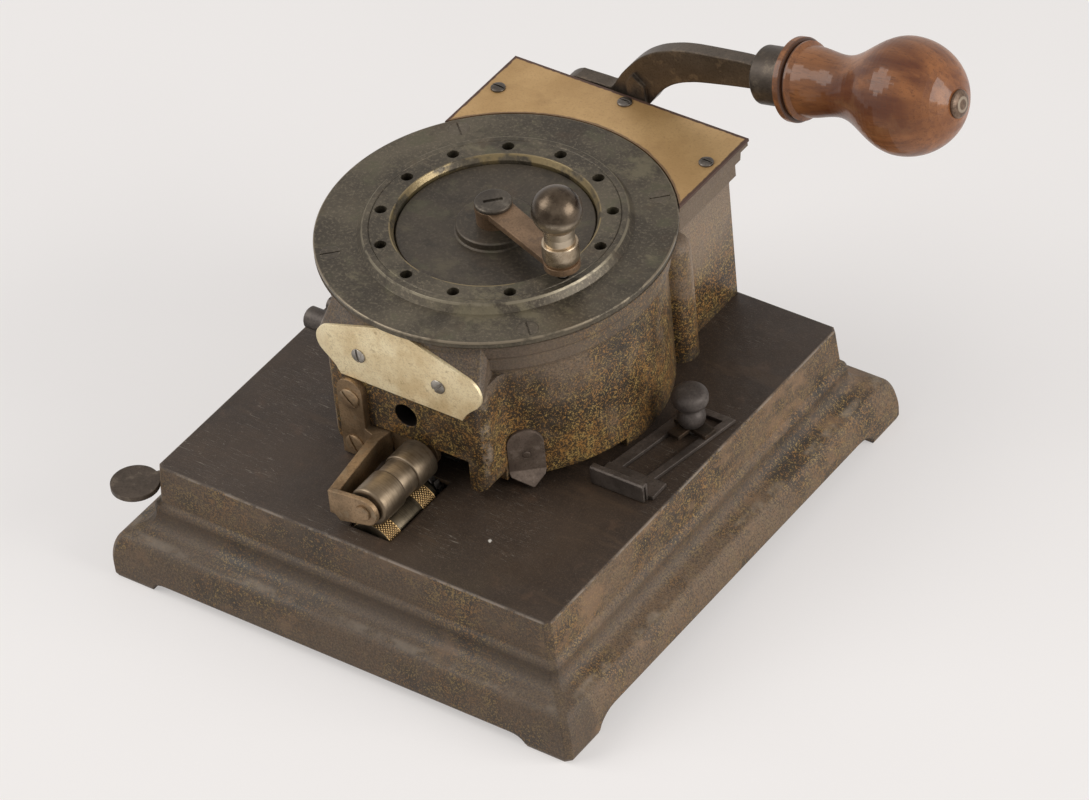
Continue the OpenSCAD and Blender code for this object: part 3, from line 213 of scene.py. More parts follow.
def japan_material():
    m = Mat("japanned_casting")
    color, wide, patch = speckle(m)
    # grey-brown film that handling has left on the upper parts
    height = m.mul(m.ramp(m.z, 0.062, 0.106), m.ramp(m.x, 0.015, 0.050, 0.25, 1.0))
    height = m.mul(height, m.ramp(m.x, 0.048, 0.060, 1.0, 0.15))
    film_noise = m.noise(42, 4.0, 0.65)
    film = m.mul(m.ramp(m.add(film_noise, m.mul(height, 0.27)), 0.52, 0.80), 0.74)
    grit = m.noise(1500, 3.0, 0.65)
    film_color = m.mix(m.ramp(grit, 0.35, 0.65), (0.100, 0.070, 0.046), (0.230, 0.165, 0.112))
    color = m.mix(film, color, film_color)
    # the rear housing is the most faded
    rear = m.mul(m.ramp(m.y, 0.050, 0.066), m.ramp(m.z, 0.062, 0.088))
    faded = m.mix(m.ramp(grit, 0.3, 0.7), (0.22, 0.165, 0.115), (0.36, 0.275, 0.205))
    color = m.mix(m.mul(rear, 0.5), color, faded)
    # plain dark brown round the nameplate
    nose_top = m.mul(m.ramp(m.z, 0.094, 0.104), m.ramp(m.y, -0.028, -0.040))
    plain = m.mix(m.ramp(grit, 0.35, 0.65), (0.052, 0.038, 0.028), (0.125, 0.092, 0.066))
    color = m.mix(m.mul(nose_top, 0.75), color, plain)
    # the cornice under the ring is plain and dusty
    cornice = m.mul(m.ramp(m.z, 0.1005, 0.1045), m.ramp(m.y, -0.046, -0.036))
    dusty = m.mix(m.noise(260, 3.0, 0.6), (0.078, 0.057, 0.040), (0.160, 0.120, 0.086))
    color = m.mix(m.mul(cornice, 0.5), color, dusty)
    # painted shade: the casting darkens towards its foot, in the corner against the base
    low = m.ramp(m.add(m.z, m.mul(m.sub(wide, 0.5), 0.006)), 0.0495, 0.0545, 1.0, 0.0)
    color = m.mix(m.mul(low, 0.5), color, (0.040, 0.030, 0.021))
    # rubbed corners of the nose
    nose_x = m.math("ABSOLUTE", m.sub(m.x, HEAD.x))
    rub = m.mul(m.band(nose_x, NOSE_HALF, 0.0007, 0.0010), m.ramp(m.y, -0.046, -0.050))
    rub = m.mul(rub, m.ramp(m.noise(95, 4.0, 0.65), 0.46, 0.62))
    color = m.mix(m.mul(rub, 0.7), color, (0.33, 0.265, 0.20))
    # painted shade: the oil hole's bore is darkened
    dx = m.sub(m.x, HEAD.x)
    dz = m.sub(m.z, OIL_HOLE_Z)
    off = m.math("SQRT", m.add(m.mul(dx, dx), m.mul(dz, dz)))
    hole = m.ramp(off, OIL_HOLE_R, OIL_HOLE_R + 0.0003, 1.0, 0.0)
    painted_hole_shade = m.mul(hole, m.ramp(m.y, NOSE_FRONT, NOSE_FRONT + 0.0004))
    color = m.mix(painted_hole_shade, color, (0.008, 0.006, 0.005))
    m.bump(m.noise(520, 3.0, 0.6), 0.00010)
    m.bump(m.noise(70, 2.0, 0.5), 0.0006)
    m.rounded(0.0006)
    rough = m.add(0.36, m.mul(film, 0.24))
    return m.finish(color, m.add(rough, m.mul(cornice, 0.1)), spec=0.4)


def base_material():
    m = Mat("japanned_base")
    color, wide, patch = speckle(m)
    film_noise = m.noise(30, 4.0, 0.65)
    film = m.mul(m.ramp(film_noise, 0.30, 0.62), 0.80)
    grit = m.noise(1500, 3.0, 0.65)
    film_color = m.mix(m.ramp(grit, 0.35, 0.65), (0.084, 0.057, 0.037), (0.196, 0.135, 0.087))
    side = m.mix(film, color, film_color)
    # pink-brown bare patches
    bare = m.ramp(m.noise(38, 4.0, 0.6, m.mapped((1, 1, 1.8))), 0.57, 0.68)
    side = m.mix(m.mul(bare, 0.5), side, (0.260, 0.158, 0.088))
    # grey rub lines along the mouldings' ridges; painted shade in the moulding's cove
    ridge = m.band(m.z, RIDGE_Z, 0.0002, 0.0008)
    rub = m.mul(ridge, m.ramp(m.noise(55, 4.0, 0.65), 0.44, 0.62))
    side = m.mix(m.mul(rub, 0.55), side, (0.34, 0.275, 0.205))
    # painted shade: darker band along the cove
    painted_hollow_shade = m.band(m.z, HOLLOW_Z, 0.0016, 0.0035)
    side = m.mix(m.mul(painted_hollow_shade, 0.42), side, (0.060, 0.046, 0.036))
    # painted shade: the front wall is darker than the right side, in patches
    front = m.mul(m.ramp(m.y, -0.0935, -0.0965), m.ramp(film_noise, 0.35, 0.6, 0.2, 0.45))
    side = m.mix(front, side, (0.045, 0.033, 0.024))
    # plain black top, browned and scratched
    cloud = m.noise(26, 4.0, 0.6)
    grain = m.noise(1900, 3.0, 0.65)
    top = m.mix(m.ramp(cloud, 0.35, 0.68), (0.029, 0.0190, 0.0130), (0.048, 0.0315, 0.0208))
    top = m.mix(m.mul(m.ramp(grain, 0.46, 0.70), 0.5), top, (0.105, 0.069, 0.044))
    rust = m.ramp(m.noise(85, 4.0, 0.65), 0.58, 0.72)
    top = m.mix(m.mul(rust, 0.4), top, (0.105, 0.062, 0.038))
    dust = m.ramp(m.noise(520, 3.0, 0.7), 0.66, 0.74)
    top = m.mix(m.mul(dust, 0.5), top, (0.17, 0.135, 0.105))
    cuts = m.add(m.scratches(60, 12, (0, 0, 0.5), 0.52), m.scratches(75, 14, (0, 0, 2.1), 0.55))
    streak = m.ramp(m.noise(46, 5.0, 0.7, m.mapped((0.35, 1.6, 1), (0, 0, 0.25))), 0.54, 0.66)
    top = m.mix(m.mul(streak, 0.4), top, (0.088, 0.056, 0.034))
    top = m.mix(m.mul(m.clamp(cuts), 0.5), top, (0.30, 0.26, 0.215))
    # a white chip in front of the nose's right foot
    dx = m.sub(m.x, CHIP.x)
    dy = m.sub(m.y, CHIP.y)
    chip = m.math("SQRT", m.add(m.mul(dx, dx), m.mul(dy, dy)))
    chip = m.ramp(m.add(chip, m.mul(m.noise(900, 3.0), 0.0012)), 0.0012, 0.0016, 1.0, 0.0)
    top = m.mix(chip, top, (0.62, 0.58, 0.52))
    on_top = m.mul(m.ramp(m.z, BASE_TOP - 0.0006, BASE_TOP - 0.0004), m.ramp(m.up(), 0.5, 0.9))
    color = m.mix(on_top, side, top)
    # worn line where the top meets the walls
    ex = m.math("ABSOLUTE", m.x)
    ey = m.math("ABSOLUTE", m.y)
    near = m.math("MAXIMUM", m.ramp(ex, BASE_HALF_X - 0.0004, BASE_HALF_X + 0.0002),
                  m.ramp(ey, BASE_HALF_Y - 0.0004, BASE_HALF_Y + 0.0002))
    edge = m.mul(m.mul(near, m.ramp(m.z, BASE_TOP - 0.0009, BASE_TOP - 0.0005)),
                 m.ramp(m.noise(110, 4.0, 0.65), 0.40, 0.56))
    color = m.mix(m.mul(edge, 0.6), color, (0.33, 0.27, 0.215))
    m.bump(m.noise(480, 3.0, 0.6), 0.00009)
    m.bump(m.noise(52, 2.0, 0.5), 0.0007)
    m.rounded(0.0012)
    rough = m.add(m.mul(on_top, -0.04), m.add(0.46, m.mul(film, 0.16)))
    return m.finish(color, rough, spec=0.4)


def patina_material(name, dark, light, rims, rough=0.42, metal=0.55):
    """Old bronze under a clouded dark skin. Each rim is (radius, half width, lowest z, share, colour)."""
    m = Mat(name)
    cloud = m.noise(38, 5.0, 0.62)
    fine = m.noise(800, 3.0, 0.7)
    color = m.mix(m.ramp(cloud, 0.34, 0.66), dark, light)
    color = m.mix(m.mul(m.ramp(fine, 0.48, 0.68), 0.5), color, tuple(c * 1.8 for c in light))
    green = m.ramp(m.noise(75, 4.0, 0.65), 0.54, 0.68)
    color = m.mix(m.mul(green, 0.45), color, (0.088, 0.086, 0.048))
    brown = m.ramp(m.noise(58, 4.0, 0.65, m.mapped(shift=(0.4, 0.2, 0.1))), 0.56, 0.70)
    color = m.mix(m.mul(brown, 0.45), color, (0.078, 0.052, 0.032))
    pale = m.ramp(m.noise(31, 6.0, 0.72, m.mapped((1, 1.5, 1), (0, 0, 0.5), (0.1, 0.3, 0.2))), 0.545, 0.66)
    color = m.mix(m.mul(pale, 0.7), color, tuple(c * k for c, k in zip(light, (1.55, 1.6, 1.45))))
    deep = m.ramp(m.noise(47, 6.0, 0.72, m.mapped(shift=(0.7, 0.6, 0.3))), 0.54, 0.66)
    color = m.mix(m.mul(deep, 0.55), color, tuple(c * 0.6 for c in dark))
    shine = None
    r = m.radius()
    wear = m.noise(64, 4.0, 0.65)
    for radius, half, low, share, tone in rims:
        line = m.mul(m.band(r, radius, half, 0.0004), m.ramp(m.z, low - 0.0002, low))
        line = m.mul(line, m.ramp(wear, 0.66 - 0.36 * share, 0.78 - 0.36 * share))
        color = m.mix(line, color, tone)
        shine = line if shine is None else m.math("MAXIMUM", shine, line)
    pits = m.ramp(m.cells(560), 0.0, 0.17, 1.0, 0.0)
    pits = m.mul(pits, m.ramp(m.noise(130, 2.0), 0.46, 0.6))
    color = m.mix(m.mul(pits, 0.6), color, (0.024, 0.020, 0.016))
    cuts = m.add(m.scratches(90, 12, (0, 0, 0.9), 0.56), m.scratches(110, 12, (0, 0, 2.6), 0.58))
    color = m.mix(m.mul(m.clamp(cuts), 0.4), color, (0.21, 0.175, 0.12))
    m.bump(m.noise(560, 3.0, 0.6), 0.00007)
    m.rounded(0.0004)
    r_out = m.add(rough - 0.08, m.mul(cloud, 0.2))
    if shine is not None:
        r_out = m.sub(r_out, m.mul(shine, 0.1))
    return m.finish(color, r_out, metal)


def brass_sheet_material():
    m = Mat("top_plate_brass")
    cloud = m.noise(24, 4.0, 0.62)
    fine = m.noise(1000, 3.0, 0.7)
    color = m.mix(m.ramp(cloud, 0.35, 0.66), (0.46, 0.280, 0.112), (0.60, 0.385, 0.172))
    color = m.mix(m.mul(m.ramp(fine, 0.48, 0.7), 0.35), color, (0.34, 0.20, 0.078))
    # faint flecks of old tarnish
    fleck = m.ramp(m.noise(330, 4.0, 0.7, m.mapped((1, 2.2, 1), (0, 0, 0.4))), 0.60, 0.70)
    color = m.mix(m.mul(fleck, 0.35), color, (0.26, 0.145, 0.058))
    stain = m.ramp(m.noise(52, 5.0, 0.68), 0.57, 0.72)
    color = m.mix(m.mul(stain, 0.45), color, (0.35, 0.205, 0.085))
    # dark lacquer left along the border
    side = m.math("ABSOLUTE", m.sub(m.x, HEAD.x))
    off = m.math("MINIMUM", m.sub(HOUSING_HALF, side), m.sub(HOUSING_REAR, m.y))
    wave = m.mul(m.sub(m.noise(190, 4.0, 0.65), 0.5), 0.0016)
    border = m.ramp(m.add(off, wave), 0.0009, 0.0015, 1.0, 0.0)
    ring = m.ramp(m.add(m.radius(), wave), RING_EDGE + 0.0010, RING_EDGE + 0.0015, 1.0, 0.0)
    color = m.mix(m.math("MAXIMUM", border, m.mul(ring, 0.7)), color, (0.095, 0.052, 0.038))
    cuts = m.add(m.scratches(80, 12, (0, 0, 0.35), 0.54), m.scratches(95, 12, (0, 0, 1.9), 0.57))
    color = m.mix(m.mul(m.clamp(cuts), 0.4), color, (0.36, 0.21, 0.085))
    m.bump(m.noise(300, 3.0, 0.6), 0.00004)
    m.rounded(0.0002)
    return m.finish(color, m.add(0.40, m.mul(border, 0.2)), 0.4)


def nameplate_material():
    m = Mat("nameplate_silvered")
    cloud = m.noise(80, 4.0, 0.65)
    fine = m.noise(1300, 3.0, 0.7)
    color = m.mix(m.ramp(cloud, 0.32, 0.66), (0.76, 0.585, 0.325), (0.98, 0.84, 0.55))
    color = m.mix(m.mul(m.ramp(fine, 0.48, 0.66), 0.4), color, (0.50, 0.36, 0.18))
    stain = m.ramp(m.noise(170, 5.0, 0.7), 0.57, 0.68)
    color = m.mix(m.mul(stain, 0.55), color, (0.38, 0.26, 0.13))
    # painted highlight: a bright strip at the plate's left shoulder
    left = m.ramp(m.x, -0.0335, -0.0365)
    color = m.mix(m.mul(left, 0.35), color, (0.98, 0.86, 0.60))
    cuts = m.scratches(120, 12, (0, 1.2, 0), 0.54)
    color = m.mix(m.mul(m.clamp(cuts), 0.5), color, (0.36, 0.25, 0.12))
    m.bump(m.noise(420, 3.0, 0.6), 0.00005)
    m.rounded(0.0004)
    return m.finish(color, m.add(0.36, m.mul(stain, 0.2)), 0.45)


def metal_material(name, dark, light, rough=0.35, metal=0.9, worn=None, edge=0.0003, coarse=0.5, clouds=95):
    m = Mat(name)
    cloud = m.noise(clouds, 5.0, 0.62)
    fine = m.noise(1200, 3.0, 0.7)
    color = m.mix(m.ramp(cloud, 0.32, 0.66), dark, light)
    color = m.mix(m.mul(m.ramp(fine, 0.46, 0.68), coarse), color, tuple(c * 0.55 for c in dark))
    if worn:
        spots = m.ramp(m.noise(190, 4.0, 0.68), 0.54, 0.68)
        color = m.mix(m.mul(spots, 0.6), color, worn)
    m.bump(fine, 0.00005)
    m.rounded(edge)
    return m.finish(color, m.add(rough - 0.08, m.mul(cloud, 0.2)), metal)


def wood_material():
    m = Mat("turned_hardwood")
    along = m.mapped((1, 1, 1), (0, HANDLE_TILT, 0))
    stretch = m.tree.nodes.new("ShaderNodeMapping")
    m.tree.links.new(along, stretch.inputs[0])
    stretch.inputs["Scale"].default_value = (0.13, 1, 1)
    at = stretch.outputs[0]
    rings = m.noise(58, 4.0, 0.55, at, 1.0)
    fibre = m.noise(560, 3.0, 0.68, at)
    pores = m.noise(1900, 1.0, 0.5, at)
    figure = m.noise(28, 3.0, 0.55)
    color = m.mix(m.ramp(rings, 0.36, 0.64), (0.110, 0.030, 0.009), (0.300, 0.112, 0.036))
    color = m.mix(m.mul(m.ramp(figure, 0.42, 0.66), 0.5), color, (0.38, 0.155, 0.052))
    color = m.mix(m.mul(m.ramp(fibre, 0.46, 0.68), 0.4), color, (0.095, 0.030, 0.014))
    color = m.mix(m.mul(m.ramp(pores, 0.61, 0.70), 0.4), color, (0.050, 0.018, 0.009))
    # worn pale patches
    rubbed = m.ramp(m.noise(44, 4.0, 0.62, m.mapped(shift=(0.2, 0.5, 0.1))), 0.56, 0.72)
    color = m.mix(m.mul(rubbed, 0.35), color, (0.40, 0.190, 0.075))
    # painted shade in the turned groove of the rim; darker patches along the rim
    s = m.add(m.mul(m.sub(m.x, HANDLE_START.x), math.cos(HANDLE_TILT)),
              m.mul(m.sub(m.z, HANDLE_START.z), math.sin(HANDLE_TILT)))
    painted_groove_shade = m.band(s, 0.0178, 0.0005, 0.0009)
    color = m.mix(m.mul(painted_groove_shade, 0.8), color, (0.026, 0.012, 0.008))
    rim = m.band(s, 0.0155, 0.0016, 0.0015)
    color = m.mix(m.mul(rim, m.mul(m.ramp(m.noise(300, 3.0), 0.4, 0.6), 0.5)), color, (0.07, 0.03, 0.018))
    m.bump(fibre, 0.00002)
    m.bump(m.noise(36, 2.0), 0.0006)
    return m.finish(color, m.add(0.42, m.mul(fibre, 0.1)), 0.0, coat=0.45, coat_rough=0.08, spec=0.2)


def knob_material(name, dark, light, brown_tone, bright=None):
    m = Mat(name)
    cloud = m.noise(120, 5.0, 0.62)
    fine = m.noise(1000, 3.0, 0.65)
    color = m.mix(m.ramp(cloud, 0.35, 0.68), dark, light)
    color = m.mix(m.mul(m.ramp(fine, 0.48, 0.7), 0.3), color, tuple(c * 0.6 for c in dark))
    brown = m.ramp(m.noise(62, 4.0, 0.62), 0.48, 0.64)
    color = m.mix(m.mul(brown, 0.5), color, brown_tone)
    if bright:
        # the plating has lasted below the ball's waist
        kept = m.ramp(m.add(m.z, m.mul(m.sub(cloud, 0.5), 0.006)), 0.1556, 0.1516)
        color = m.mix(m.mul(kept, 0.9), color, bright)
    m.bump(fine, 0.00002)
    m.rounded(0.0004)
    return m.finish(color, m.add(0.20, m.mul(cloud, 0.16)), 0.95)


def button_material():
    """The handle's end button: brown like the wood, with a pale turned ring."""
    m = Mat("handle_button")
    obj = nodes["handle_button"]
    centre = sum((v.co for v in obj.data.vertices), Vector()) / len(obj.data.vertices)
    off = [m.sub(a, c) for a, c in zip((m.x, m.y, m.z), centre)]
    r = m.math("SQRT", m.add(m.add(m.mul(off[0], off[0]), m.mul(off[1], off[1])), m.mul(off[2], off[2])))
    grit = m.noise(700, 3.0, 0.65)
    color = m.mix(m.ramp(grit, 0.35, 0.65), (0.085, 0.050, 0.030), (0.170, 0.108, 0.070))
    color = m.mix(m.mul(m.band(r, 0.0026, 0.0003, 0.0004), 0.8), color, (0.36, 0.29, 0.215))
    m.bump(grit, 0.00003)
    return m.finish(color, 0.36, 0.45)


GOLD = (0.25, 0.19, 0.095)
JAPAN = japan_material()
BASE = base_material()
RING = patina_material(
    "ring_patina", (0.055, 0.045, 0.032), (0.118, 0.098, 0.068),
    [(RING_EDGE, 0.0002, RING_TOP - 0.0008, 0.7, (0.22, 0.18, 0.125)),
     (0.0497, 0.0002, RING_TOP + 0.0025, 0.8, (0.21, 0.18, 0.125)),
     (0.0385, 0.0007, RING_TOP - 0.0010, 0.62, GOLD), (0.0391, 0.0002, RING_TOP + 0.0028, 0.7, GOLD)])
DIAL = patina_material("dial_patina", (0.040, 0.032, 0.023), (0.068, 0.054, 0.038), [], metal=0.45)
TOP_BRASS = brass_sheet_material()
NAME = nameplate_material()
KNOB = knob_material("worn_plated_knob", (0.045, 0.033, 0.023), (0.135, 0.104, 0.074), (0.045, 0.031, 0.020),
                     bright=(0.58, 0.485, 0.365))
BARREL = knob_material("worn_plated_barrel", (0.34, 0.27, 0.19), (0.58, 0.48, 0.355), (0.30, 0.225, 0.15))
WOOD = wood_material()
STEEL = metal_material(
    "screw_steel", (0.26, 0.24, 0.21), (0.46, 0.43, 0.39),
    rough=0.38, worn=(0.15, 0.115, 0.08))
DULL = metal_material(
    "screw_dull", (0.085, 0.074, 0.064), (0.20, 0.18, 0.16),
    rough=0.36, worn=(0.30, 0.28, 0.25), edge=0.0004)
DARK = metal_material(
    "dark_steel", (0.066, 0.052, 0.043), (0.120, 0.096, 0.080),
    rough=0.44, metal=0.5, worn=(0.12, 0.10, 0.085), edge=0.0005)
THUMB = metal_material(
    "thumbscrew_steel", (0.054, 0.043, 0.037), (0.094, 0.078, 0.068),
    rough=0.5, metal=0.5, worn=(0.13, 0.11, 0.095), edge=0.0005)
POINTER = metal_material(
    "pointer_steel", (0.104, 0.075, 0.056), (0.185, 0.138, 0.107),
    rough=0.48, metal=0.4, worn=(0.25, 0.195, 0.155), edge=0.0005)
FERRULE = metal_material(
    "ferrule_bronze", (0.050, 0.038, 0.028), (0.090, 0.070, 0.052),
    rough=0.42, metal=0.6, worn=(0.14, 0.11, 0.08), edge=0.0006)
LEVER = metal_material(
    "lever_bronze", (0.064, 0.049, 0.036), (0.112, 0.088, 0.066),
    rough=0.4, metal=0.7, worn=(0.185, 0.140, 0.095), edge=0.0010, clouds=40)
COPPER = metal_material(
    "crank_brown", (0.140, 0.086, 0.048), (0.245, 0.155, 0.090),
    rough=0.42, metal=0.6, worn=(0.085, 0.058, 0.040), edge=0.0005)
CRANKSCREW = metal_material(
    "crank_screw_patina", (0.054, 0.044, 0.034), (0.100, 0.083, 0.064),
    rough=0.4, metal=0.6, worn=(0.19, 0.165, 0.13), edge=0.0005)
BRACKET = metal_material(
    "bracket_bronze", (0.165, 0.106, 0.056), (0.340, 0.228, 0.128),
    rough=0.4, metal=0.65, worn=(0.250, 0.195, 0.125), edge=0.0006, clouds=60)
BRASS = metal_material(
    "roller_bronze", (0.120, 0.090, 0.058), (0.265, 0.205, 0.140),
    rough=0.36, metal=0.85, worn=(0.075, 0.052, 0.034), edge=0.0004)
CLAMP = metal_material(
    "clamp_brass", (0.036, 0.027, 0.020), (0.072, 0.052, 0.036),
    rough=0.42, metal=0.7, worn=(0.15, 0.092, 0.055), edge=0.0003)
RELEASE = metal_material(
    "release_bronze", (0.052, 0.038, 0.027), (0.092, 0.069, 0.051),
    rough=0.42, metal=0.6, worn=(0.17, 0.135, 0.10), edge=0.0006)
RINGSCREW = patina_material("ring_screw_patina", (0.070, 0.057, 0.042), (0.118, 0.097, 0.070), [], metal=0.55)

DRESS = {
    "head_casting": JAPAN, "base_casting": BASE, "index_ring": RING, "dial_disc": DIAL,
    "ring_screws": RINGSCREW, "top_plate": TOP_BRASS, "nameplate": NAME, "index_knob": KNOB,
    "knob_barrel": BARREL, "wood_handle": WOOD, "lever_arm": LEVER, "handle_ferrule": FERRULE,
    "handle_button": button_material(), "crank_arm": COPPER, "crank_screw": CRANKSCREW,
    "roller_bracket": BRACKET, "bracket_screws": BRACKET, "nameplate_screws": STEEL,
    "top_plate_screws": DULL, "shaft_nut": DULL, "lever_shaft": DULL, "pressure_roller": BRASS,
    "feed_roller": BRASS, "pressure_shaft": BRACKET, "ratchet_wheel": DULL, "front_bush": BRASS,
    "rear_bush": BRASS, "spindle_bush": BRASS, "gauge_clamp": CLAMP, "gauge_thumbscrew": THUMB,
    "release_lever": RELEASE, "side_button": THUMB, "line_pointer": POINTER, "pointer_rivet": POINTER,
    "front_bearing": DARK, "rear_bearing": DARK, "plunger_guide": DARK, "side_pin": DARK,
    "hammer_arm": DARK, "punch_wheel": DARK, "feed_pawl": DARK, "check_gauge": DARK,
}
for name, obj in nodes.items():
    obj.data.materials.clear()
    obj.data.materials.append(DRESS.get(name, STEEL))


# ---------------------------------------------------------------- rollers
FEED_Z, PRESS_Z = 0.04195, 0.0606
ROLLER_Y = -0.0870
BORE = 0.00305
AROUND = 432
KNURLS = 46
KNURL_PITCH = 0.00128


def diamond(share, y, pitch):
    """Height of a diamond knurl, 0 in its grooves and 1 on its points."""
    u = KNURLS * share + y / pitch
    v = KNURLS * share - y / pitch
    rise = min(abs(u - round(u)), abs(v - round(v))) * 2.0
    return min(1.0, rise * 1.35)


def turned(name, axis_z, rows):
    """A roller along Y from rows of (distance from its front, radius, knurl depth)."""
    verts, faces = [], []
    for y, radius, depth in rows:
        for i in range(AROUND):
            share = i / AROUND
            r = radius - (depth * (1.0 - diamond(share, y, KNURL_PITCH)) if depth else 0.0)
            angle = 2.0 * math.pi * share
            verts.append((ROLLER_X + r * math.cos(angle), ROLLER_Y + y, axis_z + r * math.sin(angle)))
    count = len(rows)
    for j in range(count):
        k = (j + 1) % count
        for i in range(AROUND):
            n = (i + 1) % AROUND
            faces.append((j * AROUND + i, j * AROUND + n, k * AROUND + n, k * AROUND + i))
    piece_mesh = bpy.data.meshes.new(name)
    piece_mesh.from_pydata(verts, [], faces)
    b = bmesh.new()
    b.from_mesh(piece_mesh)
    bmesh.ops.recalc_face_normals(b, faces=b.faces)
    b.to_mesh(piece_mesh)
    b.free()
    piece_mesh.polygons.foreach_set("use_smooth", [True] * len(piece_mesh.polygons))
    piece = bpy.data.objects.new(name, piece_mesh)
    bpy.context.scene.collection.objects.link(piece)
    return piece


def land(y0, y1, radius, ease, depth=0.0):
    """One band of a roller, rounded at both ends and smooth or knurled."""
    rows = [(y0 + ease * (1.0 - math.cos(math.radians(22.5 * i))),
             radius - ease * (1.0 - math.sin(math.radians(22.5 * i))), 0.0) for i in range(5)]
    start, end = y0 + ease, y1 - ease
    if depth:
        steps = round((end - start) / 0.00013)
        rows += [(start + (end - start) * i / steps, radius, depth) for i in range(1, steps)]
    rows += [(y1 - ease * (1.0 - math.cos(math.radians(22.5 * i))),
              radius - ease * (1.0 - math.sin(math.radians(22.5 * i))), 0.0) for i in range(4, -1, -1)]
    return rows


feed_rows = [(0.0, BORE, 0.0)]
feed_rows += land(0.0, 0.0070, 0.01025, 0.0003, depth=0.00034)
feed_rows += land(0.0070, 0.0210, 0.00925, 0.0001)
feed_rows += land(0.0210, 0.0290, 0.01025, 0.0003, depth=0.00034)
feed_rows += land(0.0290, 0.0330, 0.00725, 0.0003)
feed_rows += [(0.0330, BORE, 0.0)]
feed = turned("knurled_feed_roller", FEED_Z, feed_rows)

press_rows = [(0.0, BORE, 0.0)]
press_rows += land(0.0, 0.0134, 0.00810, 0.0011)
press_rows += land(0.0134, 0.0213, 0.00730, 0.0001)
press_rows += land(0.0213, 0.0330, 0.00810, 0.0007)
press_rows += [(0.0330, BORE, 0.0)]
press = turned("turned_pressure_roller", PRESS_Z, press_rows)


def roller_material(name, dark, light, sheen, knurled):
    m = Mat(name)
    cloud = m.noise(90, 4.0, 0.62)
    lathe = m.noise(1500, 2.0, 0.6, m.mapped((0.12, 1, 0.12)))
    color = m.mix(m.ramp(cloud, 0.34, 0.66), dark, light)
    color = m.mix(m.mul(m.ramp(lathe, 0.46, 0.66), 0.45), color, tuple(c * 0.5 for c in dark))
    y = m.sub(m.y, ROLLER_Y)
    if knurled:
        band = m.math("MAXIMUM", m.band(y, 0.0035, 0.0032, 0.0003), m.band(y, 0.0250, 0.0037, 0.0003))
        dx = m.sub(m.x, ROLLER_X)
        dz = m.sub(m.z, FEED_Z)
        r = m.math("SQRT", m.add(m.mul(dx, dx), m.mul(dz, dz)))
        point = m.mul(band, m.ramp(r, 0.00998, 0.01018))
        color = m.mix(m.mul(band, 0.8), color, (0.115, 0.070, 0.030))
        color = m.mix(point, color, (0.52, 0.345, 0.150))
    else:
        # painted sheen: a lighter tone over the roller, strongest on the front land
        front = m.mul(m.ramp(y, 0.0, 0.0134, 1.0, 0.7), sheen)
        color = m.mix(front, color, (0.32, 0.23, 0.135))
    m.bump(lathe, 0.00003)
    return m.finish(color, m.add(0.30, m.mul(cloud, 0.18)), 0.85)


FEED_METAL = roller_material("knurled_bronze", (0.080, 0.064, 0.042), (0.140, 0.113, 0.075), 0.0, True)
PRESS_METAL = roller_material("turned_bronze", (0.110, 0.087, 0.062), (0.215, 0.172, 0.125), 0.25, False)
for piece, metal, body, node in ((feed, FEED_METAL, "feed_drum", "feed_roller"),
                                 (press, PRESS_METAL, "upper_roller", "pressure_roller")):
    piece.data.materials.append(metal)
    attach(piece, body)
    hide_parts(node)


# ---------------------------------------------------------------- stage
def stage_material():
    m = Mat("studio_floor")
    grain = m.noise(9, 2.0, 0.5)
    color = m.mix(grain, (0.935, 0.902, 0.882), (0.950, 0.918, 0.898))
    path = m.tree.nodes.new("ShaderNodeLightPath")
    seen = m.math("MAXIMUM", m.math("MAXIMUM", path.outputs["Is Camera Ray"], path.outputs["Is Glossy Ray"]),
                  path.outputs["Is Transmission Ray"])
    # the floor under the base lies in its shade
    beyond = m.math("MAXIMUM", m.sub(m.math("ABSOLUTE", m.x), BASE_HALF_X),
                    m.sub(m.math("ABSOLUTE", m.y), BASE_HALF_Y))
    seen = m.mul(seen, m.ramp(beyond, 0.002, 0.012))
    glow = m.tree.nodes.new("ShaderNodeEmission")
    m.feed(glow.inputs[0], color)
    blend = m.tree.nodes.new("ShaderNodeMixShader")
    m.feed(blend.inputs[0], m.mul(seen, 0.45))
    mat = m.finish(color, 0.9, spec=0.1)
    m.tree.links.new(m.bsdf.outputs[0], blend.inputs[1])
    m.tree.links.new(glow.outputs[0], blend.inputs[2])
    m.tree.links.new(blend.outputs[0], m.out.inputs[0])
    return mat


FLOOR_HALF, FLOOR_DROP = 4.0, 0.0001
mesh = bpy.data.meshes.new("studio_floor")
bm = bmesh.new()
bmesh.ops.create_grid(bm, x_segments=8, y_segments=8, size=FLOOR_HALF)
bm.to_mesh(mesh)
bm.free()
floor = bpy.data.objects.new("studio_floor", mesh)
floor.location.z = -FLOOR_DROP
bpy.context.scene.collection.objects.link(floor)
floor.data.materials.append(stage_material())

world = bpy.data.worlds.new("studio")
bpy.context.scene.world = world
world.use_nodes = True
tree = world.node_tree
tree.nodes.clear()
out = tree.nodes.new("ShaderNodeOutputWorld")
plain = tree.nodes.new("ShaderNodeBackground")
shown = tree.nodes.new("ShaderNodeBackground")
both = tree.nodes.new("ShaderNodeMixShader")
path = tree.nodes.new("ShaderNodeLightPath")
plain.inputs[0].default_value = (0.95, 0.97, 1.0, 1)
plain.inputs[1].default_value = 0.30
shown.inputs[0].default_value = (0.85, 0.82, 0.80, 1)
shown.inputs[1].default_value = 1.0
seen = path.outputs["Is Camera Ray"]
for ray in ("Is Transmission Ray", "Is Glossy Ray"):
    more = tree.nodes.new("ShaderNodeMath")
    more.operation = "MAXIMUM"
    tree.links.new(path.outputs[ray], more.inputs[0])
    tree.links.new(seen, more.inputs[1])
    seen = more.outputs[0]
tree.links.new(seen, both.inputs[0])
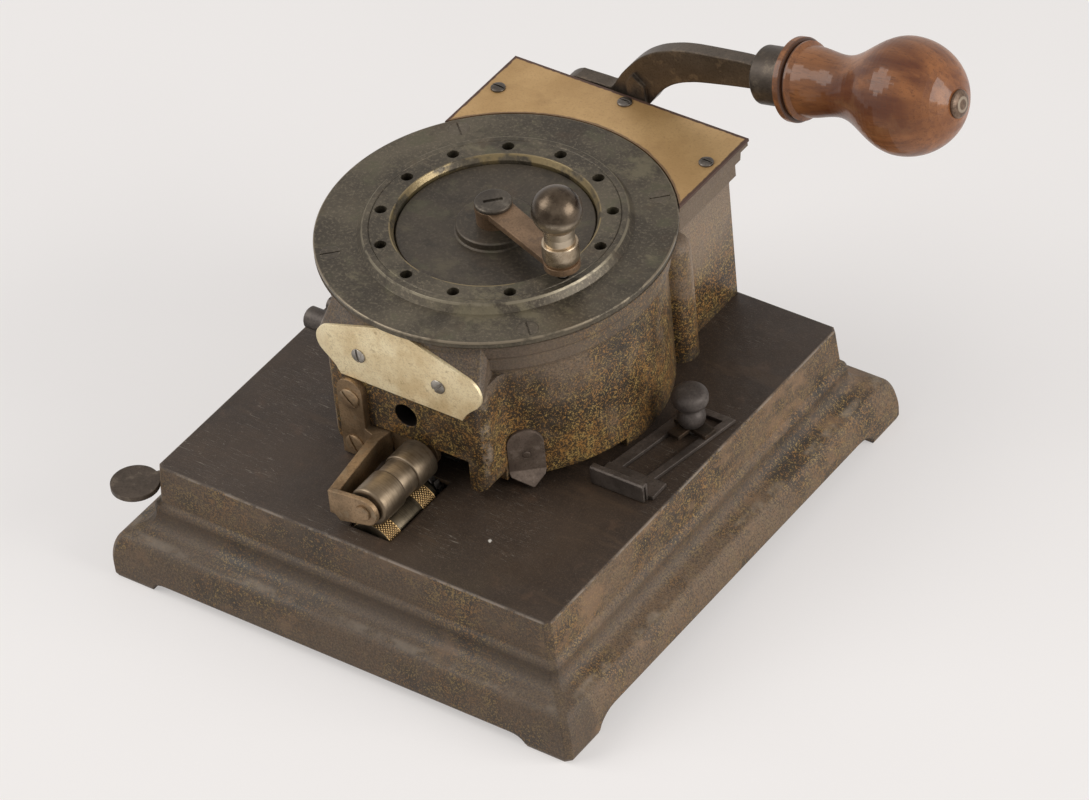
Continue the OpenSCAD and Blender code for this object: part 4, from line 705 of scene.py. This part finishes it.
tree.links.new(plain.outputs[0], both.inputs[1])
tree.links.new(shown.outputs[0], both.inputs[2])
tree.links.new(both.outputs[0], out.inputs[0])


def lamp(name, place, target, size, watts, color):
    data = bpy.data.lights.new(name, "AREA")
    data.shape = "RECTANGLE"
    data.size, data.size_y = size
    data.energy = watts
    data.color = color
    obj = bpy.data.objects.new(name, data)
    bpy.context.scene.collection.objects.link(obj)
    obj.location = place
    aim = Vector(target) - Vector(place)
    obj.rotation_mode = "QUATERNION"
    obj.rotation_quaternion = aim.to_track_quat("-Z", "Y")
    return obj


LAMP_AIM = (0, 0, 0.08)
LAMP_COLOR = (1.0, 0.985, 0.965)
lamp("softbox_left", (-0.962, -0.729, 1.197), LAMP_AIM, (1.2, 1.2), 15.5, LAMP_COLOR)
lamp("softbox_right", (1.522, 0.298, 0.690), LAMP_AIM, (1.1, 1.0), 18, LAMP_COLOR)

# ---------------------------------------------------------------- camera
PHOTO_WIDTH, FOCAL_PIXELS = 1089.0, 6293.0
SENSOR = 36.0
TARGET = Vector((-0.020094, 0.052151, 0.0))
DISTANCE = 2.43506
azimuth, elevation, roll = math.radians(38.573), math.radians(39.841), math.radians(-5.947)
back = Vector((math.sin(azimuth) * math.cos(elevation), -math.cos(azimuth) * math.cos(elevation),
               math.sin(elevation)))
right = Vector((math.cos(azimuth), math.sin(azimuth), 0.0))
above = back.cross(right)
side = right * math.cos(roll) + above * math.sin(roll)
above = above * math.cos(roll) - right * math.sin(roll)
camera_data = bpy.data.cameras.new("camera")
camera_data.sensor_width = SENSOR
camera_data.lens = SENSOR * FOCAL_PIXELS / PHOTO_WIDTH
camera_data.clip_start, camera_data.clip_end = 0.1, 20.0
camera = bpy.data.objects.new("camera", camera_data)
bpy.context.scene.collection.objects.link(camera)
place = TARGET + back * DISTANCE
turn = Matrix((side, above, back)).transposed()
camera.matrix_world = Matrix.Translation(place) @ turn.to_4x4()
bpy.context.scene.camera = camera

bpy.context.scene.view_settings.view_transform = "Standard"
